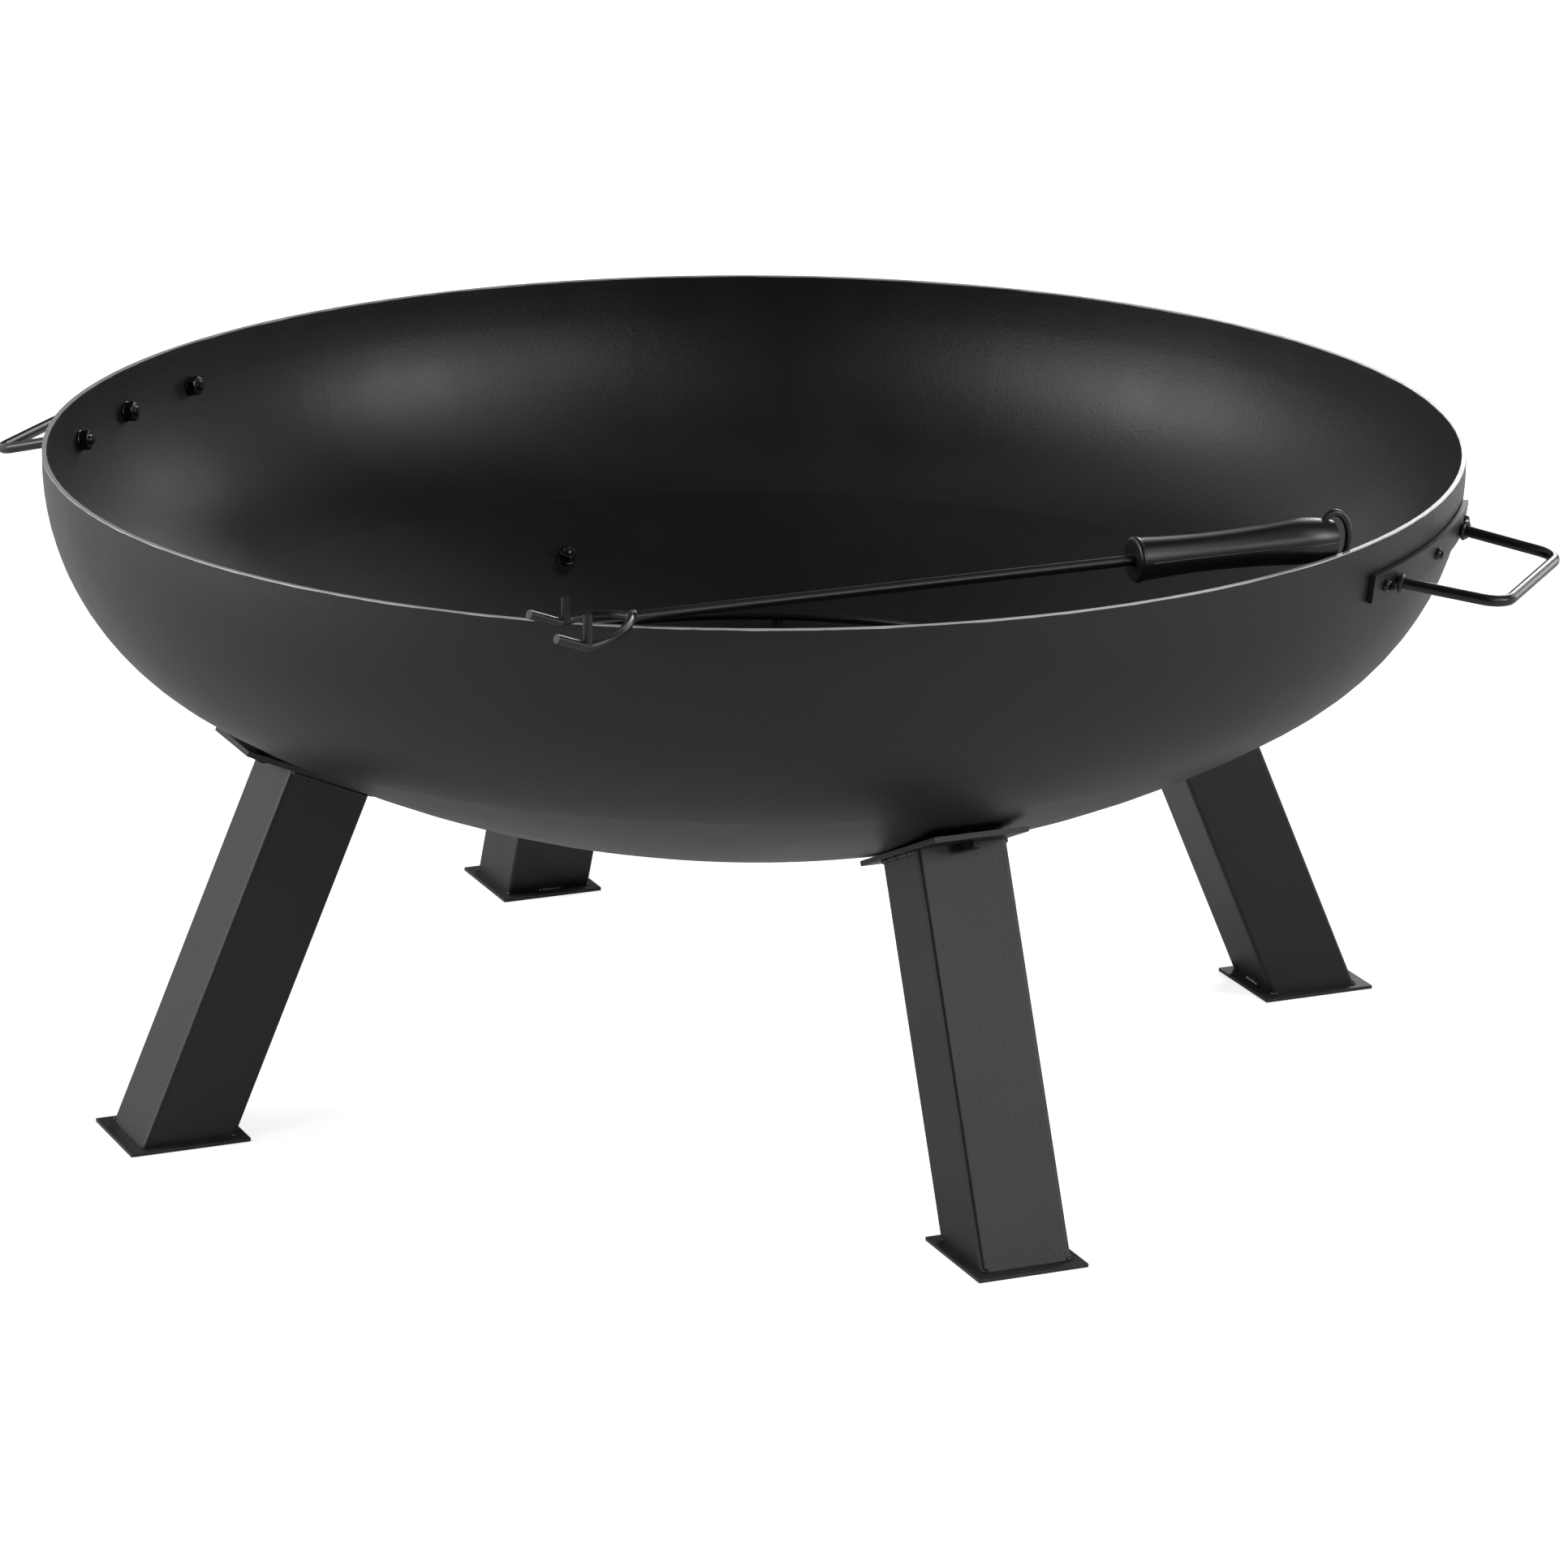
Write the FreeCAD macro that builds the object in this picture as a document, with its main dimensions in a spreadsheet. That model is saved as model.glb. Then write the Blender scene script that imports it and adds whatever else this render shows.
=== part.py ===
import FreeCAD, Part
import Sketcher
import math
import os
import re
from FreeCAD import Placement, Rotation, Vector

# Fire pit with grate: a spun steel bowl on four leaning box-section legs, a strap handle on each side,
# a loose round grate low in the bowl and a forked lifting tool lying across the rim.
# Millimetres, +Z up, origin on the ground under the middle of the bowl, handles along X.

SIZES = (
    # bowl: crown sphere, knuckle and a short upright rim
    ("bowl_radius", 400.0),
    ("bowl_sheet", 2.5),
    ("crown_radius", 627.0),
    ("knuckle_radius", 137.0),
    ("rim_flange", 8.0),
    ("rim_height", 368.5),
    # legs: box section square to the top plate, cut level at the foot
    ("leg_lean", 23.3),
    ("leg_foot_radius", 352.0),
    ("leg_depth", 50.0),
    ("leg_width", 53.0),
    ("leg_wall", 3.0),
    ("leg_corner", 2.5),
    ("foot_plate_length", 70.0),
    ("foot_plate_width", 64.0),
    ("foot_plate_sheet", 2.0),
    ("top_plate_end", 19.0),
    ("top_plate_side", 1.0),
    ("top_plate_sheet", 3.0),
    ("leg_bolt_gap", 9.0),
    # M6 fasteners
    ("bolt_radius", 3.0),
    ("hex_corner_radius", 5.77),
    ("hex_head_height", 4.0),
    ("nut_height", 5.0),
    ("washer_radius", 6.0),
    ("washer_sheet", 1.2),
    ("thread_overhang", 2.5),
    ("button_radius", 5.25),
    ("button_top_radius", 3.4),
    ("button_height", 3.3),
    ("socket_corner_radius", 2.3),
    ("socket_depth", 2.0),
    # handles: strap along the wall and a rod bent to a U
    ("handle_drop", 25.5),
    ("strap_sheet", 3.0),
    ("strap_height", 16.0),
    ("strap_half_angle", 12.3),
    ("handle_bolt_angle", 10.4),
    ("handle_rod_radius", 3.2),
    ("handle_reach", 54.8),
    ("handle_rod_drop", 2.0),
    ("handle_droop_right", 0.0),
    ("handle_droop_left", 7.5),
    ("handle_root_spread", 58.6),
    ("handle_end_spread", 52.5),
    ("handle_bend", 14.0),
    # grate
    ("grate_bolt_gap", 2.2),
    ("grate_rod_radius", 3.0),
    ("grate_bar_radius", 2.5),
    ("grate_bar_pitch", 28.0),
    ("grate_foot_reach", 4.0),
    ("grate_turn", 18.6),
    # lifting tool
    ("tool_rise", 0.39),
    ("tool_joint_angle", -76.9773),
    ("tool_joint_inset", 2.3734),
    ("tool_rim_spare", 14.0657),
    ("tool_rod_radius", 3.0),
    ("tool_rod_length", 284.0),
    ("tang_length", 60.0),
    ("tool_lift", 1.1),
    ("fork_dip", 5.1),
    ("fork_roll", 3.5),
    ("fork_reach", 34.5),
    ("fork_half_width", 19.8),
    ("fork_sideways", 8.5),
    ("fork_shoulder_reach", 13.0),
    ("fork_shoulder_width", 15.0),
    ("fork_rod_radius", 2.5),
    ("tine_length", 21.0),
    ("tine_rise", 28.0),
    ("near_post_height", 17.5),
    ("far_post_height", 13.5),
    ("far_post_setback", 3.0),
    ("grip_length", 116.0),
    ("grip_collar_radius", 12.0),
    ("grip_end_radius", 9.6),
    ("grip_waist_at", 44.0),
    ("grip_waist_bend", 538.0),
    ("grip_swell_at", 96.0),
    ("eye_half_height", 13.5),
    ("eye_half_reach", 9.0),
    ("eye_offset", 1.0),
    ("eye_rod_radius", 2.0),
    # clearances
    ("seat_clearance", 0.2),
    ("hole_clearance", 0.3),
    ("thread_clearance", 0.05),
    ("bore_clearance", 0.1),
    ("rest_clearance", 0.3),
)
ALIASES = {name for name, _ in SIZES}
LEG_ANGLES = (("front_right", -45.0), ("rear_right", 45.0), ("rear_left", 135.0), ("front_left", -135.0))
BAR_PAIRS = 7
HALF_TURN = 180.0
FULL_TURN = 360.0

doc = FreeCAD.newDocument("FirePit")
sheet = doc.addObject("Spreadsheet::Sheet", "Sizes")
for row, (alias, number) in enumerate(SIZES, start=1):
    sheet.set(f"A{row}", alias.replace("_", " "))
    sheet.set(f"B{row}", str(number))
    sheet.setAlias(f"B{row}", alias)
doc.recompute()


class Size:
    """The sheet's cells as numbers, for placing pieces."""


for alias in ALIASES:
    setattr(Size, alias, float(sheet.get(alias)))


HANDLE_SIDES = (("right", 0.0, Size.handle_droop_right), ("left", 180.0, Size.handle_droop_left))


# ---------------------------------------------------------------- helpers

def formula(text):
    """Point each size name in a formula at its cell."""
    return re.sub(r"[a-z_]+", lambda m: f"Sizes.{m.group()}" if m.group() in ALIASES else m.group(), text)


def bind(item, **sizes):
    """Bind properties of an object to formulas of the sheet's cells."""
    for prop, text in sizes.items():
        item.setExpression(prop, formula(text))
    return item


def primitive(kind, name, placement=Placement(), **sizes):
    """A Part primitive with bound sizes."""
    item = doc.addObject(f"Part::{kind}", name)
    bind(item, **sizes)
    item.Placement = placement
    return item


def cut(name, base, tool, placement=Placement()):
    item = doc.addObject("Part::Cut", name)
    item.Base = base
    item.Tool = tool
    item.Placement = placement
    return item


def fuse(name, pieces, placement=Placement()):
    item = doc.addObject("Part::MultiFuse", name)
    item.Shapes = pieces
    item.Placement = placement
    return item


def group(name, pieces):
    """Separate solids kept together as one node."""
    item = doc.addObject("Part::Compound", name)
    item.Links = pieces
    return item


def at(x=0.0, y=0.0, z=0.0, rotation=Rotation()):
    return Placement(Vector(x, y, z), rotation)


def about(axis, degrees):
    axes = {"x": Vector(1, 0, 0), "y": Vector(0, 1, 0), "z": Vector(0, 0, 1)}
    return Rotation(axes[axis], degrees)


def new_body(name, placement=Placement()):
    body = doc.addObject("PartDesign::Body", name)
    body.Placement = placement
    return body


def origin_part(body, role):
    return next(item for item in body.Origin.OriginFeatures if item.Role == role)


def new_sketch(body, name, plane):
    sketch = body.newObject("Sketcher::SketchObject", name)
    sketch.AttachmentSupport = [(origin_part(body, plane), "")]
    sketch.MapMode = "FlatFace"
    return sketch


def constrain(sketch, *arguments):
    return sketch.addConstraint(Sketcher.Constraint(*arguments))


def measure(sketch, name, text, *arguments):
    """A named dimension of a sketch, bound to a formula of the sheet's cells."""
    index = constrain(sketch, *arguments)
    sketch.renameConstraint(index, name)
    sketch.setExpression(f"Constraints.{name}", formula(text))


def line(sketch, start, end):
    return sketch.addGeometry(Part.LineSegment(Vector(*start, 0), Vector(*end, 0)))


def arc(sketch, centre, radius, start, end):
    circle = Part.Circle(Vector(*centre, 0), Vector(0, 0, 1), radius)
    return sketch.addGeometry(Part.ArcOfCircle(circle, math.radians(start), math.radians(end)))


def rectangle(sketch, name, length, width):
    """A rectangle about the sketch's origin, its sides bound to two formulas."""
    corners = ((-20, -10), (20, -10), (20, 10), (-20, 10))
    sides = [line(sketch, corners[k], corners[(k + 1) % 4]) for k in range(4)]
    for k in range(4):
        constrain(sketch, "Coincident", sides[k], 2, sides[(k + 1) % 4], 1)
        constrain(sketch, "Vertical" if k % 2 else "Horizontal", sides[k])
    constrain(sketch, "Symmetric", sides[0], 1, sides[1], 2, -1, 1)
    measure(sketch, name + "_length", length, "DistanceX", sides[0], 1, sides[0], 2, 40.0)
    measure(sketch, name + "_width", width, "DistanceY", sides[1], 1, sides[1], 2, 20.0)


def pad(body, sketch, name, length, reversed_side=False):
    item = body.newObject("PartDesign::Pad", name)
    item.Profile = sketch
    item.Reversed = reversed_side
    bind(item, Length=length)
    return item


def drill(body, name, placement, radius, depth):
    """A round hole: the drill starts at the placement and runs along its Z."""
    item = body.newObject("PartDesign::SubtractiveCylinder", name)
    item.Placement = placement
    bind(item, Radius=radius, Height=depth)
    return item


def around(body, name, features, count):
    """Repeat features about the body's Z axis."""
    item = body.newObject("PartDesign::PolarPattern", name)
    item.Originals = features
    item.Axis = (origin_part(body, "Z_Axis"), [""])
    item.Angle = FULL_TURN
    item.Occurrences = count
    body.Tip = item
    return item


# ---------------------------------------------------------------- frames

KNUCKLE_CENTRE_RADIUS = Size.bowl_radius - Size.knuckle_radius
KNUCKLE_CENTRE_HEIGHT = Size.rim_height - Size.rim_flange
CROWN_CENTRE_HEIGHT = KNUCKLE_CENTRE_HEIGHT + math.sqrt(
    (Size.crown_radius - Size.knuckle_radius) ** 2 - KNUCKLE_CENTRE_RADIUS ** 2)
# angle from straight down at which the crown meets the knuckle
CROWN_EDGE_ANGLE = math.degrees(math.asin(KNUCKLE_CENTRE_RADIUS / (Size.crown_radius - Size.knuckle_radius)))
WALL_TILT = math.degrees(math.asin((Size.handle_drop - Size.rim_flange) / Size.knuckle_radius))


def crown_frame(turn, polar):
    """On the crown's outer face, Z square to the sheet and into the bowl, X outwards."""
    lean = math.radians(polar)
    out = Size.crown_radius * math.sin(lean)
    height = CROWN_CENTRE_HEIGHT - Size.crown_radius * math.cos(lean)
    return at(rotation=about("z", turn)) * at(out, 0, height, about("y", -polar))


def wall_frame(turn):
    """On the wall's outer face at the height of the handle bolts, Z square to the sheet and outwards."""
    tilt = math.radians(WALL_TILT)
    out = KNUCKLE_CENTRE_RADIUS + Size.knuckle_radius * math.cos(tilt)
    height = Size.rim_height - Size.handle_drop
    return at(rotation=about("z", turn)) * at(out, 0, height, about("y", 90 + WALL_TILT))


def leg_length():
    """From the ground to the top plate's upper face, along the leg."""
    lean = math.radians(Size.leg_lean)
    return (Size.leg_foot_radius * math.sin(lean) + CROWN_CENTRE_HEIGHT * math.cos(lean)
            - Size.crown_radius - Size.seat_clearance)


def leg_frame(turn):
    """Middle of a top plate's upper face, Z up the leg, X outwards."""
    lean = math.radians(Size.leg_lean)
    out = Size.leg_foot_radius - leg_length() * math.sin(lean)
    height = leg_length() * math.cos(lean)
    return at(rotation=about("z", turn)) * at(out, 0, height, about("y", -Size.leg_lean))


def plate_touch_offset():
    """How far inwards of the leg's axis the flat top plate touches the round bowl."""
    lean = math.radians(Size.leg_lean)
    return Size.leg_foot_radius * math.cos(lean) - CROWN_CENTRE_HEIGHT * math.sin(lean)


def leg_bolt_tilt(offset):
    """Angle between the leg and a bolt that goes square through the bowl."""
    return math.degrees(math.atan2(offset + plate_touch_offset(), Size.crown_radius + Size.seat_clearance))


def tool_frame():
    """Where the fork meets the rod, X along the rod, which lies across the rim like a chord."""
    joint_radius = Size.bowl_radius - Size.tool_joint_inset
    chord = Size.tool_rod_length + Size.grip_length + Size.tool_rim_spare
    turn = Size.tool_joint_angle + HALF_TURN - math.degrees(math.acos(chord / 2 / joint_radius))
    angle = math.radians(Size.tool_joint_angle)
    height = Size.rim_height + Size.tool_rod_radius + Size.rest_clearance + Size.tool_lift
    return at(joint_radius * math.cos(angle), joint_radius * math.sin(angle), height,
              about("z", turn) * about("y", -Size.tool_rise))


LEG_BOLT_OFFSET = Size.leg_depth / 2 + Size.leg_bolt_gap
LEG_BOLT_TILTS = [leg_bolt_tilt(side * LEG_BOLT_OFFSET) for side in (1, -1)]
TOOL_FRAME = tool_frame()
BOLT_TIP_RISE = (Size.bowl_sheet + Size.seat_clearance + Size.washer_sheet + Size.nut_height
                 + Size.thread_overhang)
INNER_BOLT_RADIUS = ((Size.crown_radius - BOLT_TIP_RISE)
                     * math.sin(math.radians(Size.leg_lean + min(LEG_BOLT_TILTS))))
# the grate lies between the tips of the inner leg bolts
GRATE_RADIUS = INNER_BOLT_RADIUS - Size.bolt_radius - Size.grate_rod_radius - Size.grate_bolt_gap


# ---------------------------------------------------------------- bowl

def build_bowl():
    body = new_body("bowl")
    profile = new_sketch(body, "bowl_profile", "XZ_Plane")
    crown_centre = (0, CROWN_CENTRE_HEIGHT)
    knuckle_centre = (KNUCKLE_CENTRE_RADIUS, KNUCKLE_CENTRE_HEIGHT)
    edge = CROWN_EDGE_ANGLE - 90
    inner_radius = Size.bowl_radius - Size.bowl_sheet
    outer_crown = arc(profile, crown_centre, Size.crown_radius, -90, edge)
    outer_knuckle = arc(profile, knuckle_centre, Size.knuckle_radius, edge, 0)
    outer_rim = line(profile, (Size.bowl_radius, KNUCKLE_CENTRE_HEIGHT), (Size.bowl_radius, Size.rim_height))
    rim_edge = line(profile, (Size.bowl_radius, Size.rim_height), (inner_radius, Size.rim_height))
    inner_rim = line(profile, (inner_radius, Size.rim_height), (inner_radius, KNUCKLE_CENTRE_HEIGHT))
    inner_knuckle = arc(profile, knuckle_centre, Size.knuckle_radius - Size.bowl_sheet, edge, 0)
    inner_crown = arc(profile, crown_centre, Size.crown_radius - Size.bowl_sheet, -90, edge)
    bottom = CROWN_CENTRE_HEIGHT - Size.crown_radius
    middle = line(profile, (0, bottom + Size.bowl_sheet), (0, bottom))
    constrain(profile, "PointOnObject", outer_crown, 3, -2)
    constrain(profile, "Coincident", inner_crown, 3, outer_crown, 3)
    constrain(profile, "Coincident", inner_knuckle, 3, outer_knuckle, 3)
    constrain(profile, "Tangent", outer_crown, 2, outer_knuckle, 1)
    constrain(profile, "Tangent", outer_knuckle, 2, outer_rim, 1)
    constrain(profile, "Tangent", inner_crown, 2, inner_knuckle, 1)
    constrain(profile, "Tangent", inner_knuckle, 2, inner_rim, 2)
    constrain(profile, "Coincident", outer_rim, 2, rim_edge, 1)
    constrain(profile, "Coincident", rim_edge, 2, inner_rim, 1)
    constrain(profile, "Coincident", middle, 1, inner_crown, 1)
    constrain(profile, "Coincident", middle, 2, outer_crown, 1)
    constrain(profile, "PointOnObject", middle, 1, -2)
    constrain(profile, "PointOnObject", middle, 2, -2)
    constrain(profile, "Horizontal", rim_edge)
    constrain(profile, "Vertical", outer_rim)
    constrain(profile, "Vertical", inner_rim)
    measure(profile, "rim_radius", "bowl_radius", "DistanceX", -1, 1, outer_rim, 2, Size.bowl_radius)
    measure(profile, "height", "rim_height", "DistanceY", -1, 1, outer_rim, 2, Size.rim_height)
    measure(profile, "flange", "rim_flange", "DistanceY", outer_rim, 1, outer_rim, 2, Size.rim_flange)
    measure(profile, "sheet", "bowl_sheet", "DistanceX", rim_edge, 2, rim_edge, 1, Size.bowl_sheet)
    measure(profile, "crown", "crown_radius", "Radius", outer_crown, Size.crown_radius)
    measure(profile, "knuckle", "knuckle_radius", "Radius", outer_knuckle, Size.knuckle_radius)
    turned = body.newObject("PartDesign::Revolution", "bowl_shell")
    turned.Profile = profile
    turned.ReferenceAxis = (profile, ["V_Axis"])
    turned.Angle = FULL_TURN
    doc.recompute()
    back_off = at(0, 0, -Size.bowl_sheet)
    for index, tilt in enumerate(LEG_BOLT_TILTS):
        hole = drill(body, f"leg_bolt_hole_{index}", crown_frame(-45, Size.leg_lean + tilt) * back_off,
                     "bolt_radius + hole_clearance", "bowl_sheet * 3")
        around(body, f"leg_bolt_holes_{index}", [hole], len(LEG_ANGLES))
    inside_wall = at(0, 0, -2 * Size.bowl_sheet)
    for step in (-1, 0, 1):
        bolt_frame = wall_frame(step * Size.handle_bolt_angle)
        hole = drill(body, f"handle_bolt_hole_{step + 1}", bolt_frame * inside_wall,
                     "bolt_radius + hole_clearance", "bowl_sheet * 3")
        around(body, f"handle_bolt_holes_{step + 1}", [hole], len(HANDLE_SIDES))
    return [body]


# ---------------------------------------------------------------- fasteners

HEX_SIDES = 6


def hexagon(name, placement, radius, height):
    item = primitive("Prism", name, placement, Circumradius=radius, Height=height)
    item.Polygon = HEX_SIDES
    return item


def hex_bolt(name, placement, grip):
    """Head below the frame's origin, shank up through a grip of the given length."""
    head = hexagon(name + "_head", at(0, 0, -Size.hex_head_height), "hex_corner_radius", "hex_head_height")
    shank = primitive("Cylinder", name + "_shank", Radius="bolt_radius",
                      Height=f"{grip} + washer_sheet + nut_height + thread_overhang")
    return fuse(name, [head, shank], placement)


def button_bolt(name, placement, grip):
    """Domed head below the frame's origin with a hexagon socket, shank up through the grip."""
    flip = about("x", HALF_TURN)
    dome = primitive("Cone", name + "_dome", at(rotation=flip), Radius1="button_radius",
                     Radius2="button_top_radius", Height="button_height")
    socket = hexagon(name + "_socket", at(0, 0, -Size.button_height - 1), "socket_corner_radius",
                     "socket_depth + 1")
    shank = primitive("Cylinder", name + "_shank", Radius="bolt_radius",
                      Height=f"{grip} + washer_sheet + nut_height + thread_overhang")
    head = cut(name + "_head", dome, socket)
    return fuse(name, [head, shank], placement)


def washer(name, placement):
    disc = primitive("Cylinder", name + "_disc", Radius="washer_radius", Height="washer_sheet")
    hole = primitive("Cylinder", name + "_hole", at(0, 0, -1), Radius="bolt_radius + hole_clearance",
                     Height="washer_sheet + 2")
    return cut(name, disc, hole, placement)


def nut(name, placement):
    block = hexagon(name + "_block", Placement(), "hex_corner_radius", "nut_height")
    hole = primitive("Cylinder", name + "_hole", at(0, 0, -1), Radius="bolt_radius + thread_clearance",
                     Height="nut_height + 2")
    return cut(name, block, hole, placement)


def fastener_sets(prefix, bolts, frames, grip, washer_height):
    """One node each of bolts, washers and nuts, from the frames at the bolts' heads."""
    sets = {"bolts": [], "washers": [], "nuts": []}
    for index, frame in enumerate(frames):
        sets["bolts"].append(bolts(f"{prefix}_bolt_{index}", frame, grip(index)))
        on_sheet = frame * at(0, 0, washer_height(index))
        sets["washers"].append(washer(f"{prefix}_washer_{index}", on_sheet))
        on_washer = on_sheet * at(0, 0, Size.washer_sheet)
        sets["nuts"].append(nut(f"{prefix}_nut_{index}", on_washer))
    return [group(f"{prefix}_{kind}", pieces) for kind, pieces in sets.items()]


# ---------------------------------------------------------------- legs

def plate_underside(tilt):
    """From the bowl's outer face to the bolt head's seat under the top plate, along the bolt."""
    slope = math.radians(abs(tilt))
    plate = (Size.crown_radius + Size.seat_clearance + Size.top_plate_sheet) / math.cos(slope)
    return plate - Size.crown_radius + Size.hex_corner_radius * math.tan(slope)


def build_leg_tube(name, turn):
    body = new_body(f"leg_{name}", leg_frame(turn) * at(0, 0, -Size.top_plate_sheet))
    section = new_sketch(body, f"leg_{name}_section", "XY_Plane")
    rectangle(section, "outer", "leg_depth", "leg_width")
    rectangle(section, "inner", "leg_depth - 2 * leg_wall", "leg_width - 2 * leg_wall")
    tube = pad(body, section, f"leg_{name}_tube", f"{leg_length()} + leg_depth", reversed_side=True)
    doc.recompute()
    half = Vector(Size.leg_depth / 2, Size.leg_width / 2, 0)
    rounded = body.newObject("PartDesign::Fillet", f"leg_{name}_corners")
    rounded.Base = (tube, [
        f"Edge{number}" for number, edge in enumerate(tube.Shape.Edges, start=1)
        if all(abs(abs(p.X) - half.x) < 0.1 and abs(abs(p.Y) - half.y) < 0.1 for p in edge.Vertexes)
        and edge.Length > Size.leg_depth * 2])
    bind(rounded, Radius="leg_corner")
    level = body.newObject("PartDesign::SubtractiveBox", f"leg_{name}_foot_cut")
    bind(level, Length="leg_depth * 4", Width="leg_width * 2", Height="leg_depth * 4")
    radial = leg_frame(0) * at(0, 0, -Size.top_plate_sheet)
    corner = at(Size.leg_foot_radius - 2 * Size.leg_depth, -Size.leg_width,
                Size.foot_plate_sheet - 4 * Size.leg_depth)
    level.Placement = radial.inverse() * corner
    return body


def build_plate(name, frame, length, width, sheet_size, holes=None):
    """A flat rectangular plate below the frame's origin, with two holes along its length if asked."""
    body = new_body(name, frame)
    outline = new_sketch(body, f"{name}_outline", "XY_Plane")
    rectangle(outline, "plate", length, width)
    if holes:
        for side in (1, -1):
            hole = outline.addGeometry(Part.Circle(Vector(15 * side, 0, 0), Vector(0, 0, 1), 3))
            constrain(outline, "PointOnObject", hole, 3, -1)
            tag = "outer" if side > 0 else "inner"
            first, last = ((-1, 1), (hole, 3)) if side > 0 else ((hole, 3), (-1, 1))
            measure(outline, f"{tag}_hole_offset", holes, "DistanceX", *first, *last, 15.0)
            measure(outline, f"{tag}_hole_radius", "bolt_radius + 2 * hole_clearance", "Radius", hole, 3.0)
    pad(body, outline, f"{name}_sheet", sheet_size, reversed_side=True)
    return body


def build_legs():
    pieces = []
    for name, turn in LEG_ANGLES:
        pieces.append(build_leg_tube(name, turn))
        pieces.append(build_plate(
            f"top_plate_{name}", leg_frame(turn), "leg_depth + 2 * leg_bolt_gap + 2 * top_plate_end",
            "leg_width + 2 * top_plate_side", "top_plate_sheet", "leg_depth / 2 + leg_bolt_gap"))
        foot = at(rotation=about("z", turn)) * at(Size.leg_foot_radius, 0, Size.foot_plate_sheet)
        pieces.append(build_plate(f"foot_plate_{name}", foot, "foot_plate_length",
                                  "foot_plate_width", "foot_plate_sheet"))
    tilts = LEG_BOLT_TILTS * len(LEG_ANGLES)
    frames = [
        crown_frame(turn, Size.leg_lean + tilt) * at(0, 0, -plate_underside(tilt))
        for _, turn in LEG_ANGLES for tilt in LEG_BOLT_TILTS]
    pieces += fastener_sets(
        "leg", hex_bolt, frames,
        lambda index: f"{plate_underside(tilts[index])} + bowl_sheet",
        lambda index: plate_underside(tilts[index]) + Size.bowl_sheet + Size.seat_clearance)
    return pieces


# ---------------------------------------------------------------- handles

def strap_cone(name, offset, angle=None):
    """A cone parallel to the wall at the bolts' height, a given distance outside it."""
    tilt = math.radians(WALL_TILT)
    wall = KNUCKLE_CENTRE_RADIUS + Size.knuckle_radius * math.cos(tilt)
    slope = math.tan(tilt)
    middle = f"{wall} + ({offset}) / {math.cos(tilt)}"
    low = Size.rim_height - Size.handle_drop - Size.strap_height / 2
    item = primitive("Cone", name, at(0, 0, low), Radius1=f"{middle} - strap_height / 2 * {slope}",
                     Radius2=f"{middle} + strap_height / 2 * {slope}", Height="strap_height")
    if angle:
        bind(item, Angle=angle)
        item.Placement = at(0, 0, low, about("z", -Size.strap_half_angle))
    return item


def build_strap(name, turn):
    outer = strap_cone(f"{name}_strap_outside", "seat_clearance + strap_sheet", "2 * strap_half_angle")
    inner = strap_cone(f"{name}_strap_inside", "seat_clearance")
    blank = cut(f"{name}_strap_blank", outer, inner)
    drills = [
        primitive("Cylinder", f"{name}_strap_drill_{step + 1}",
                  wall_frame(step * Size.handle_bolt_angle) * at(0, 0, -Size.strap_sheet),
                  Radius="bolt_radius + hole_clearance", Height="strap_sheet * 4")
        for step in (-1, 0, 1)]
    holes = fuse(f"{name}_strap_holes", drills)
    return cut(f"handle_strap_{name}", blank, holes, at(rotation=about("z", turn)))


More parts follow.
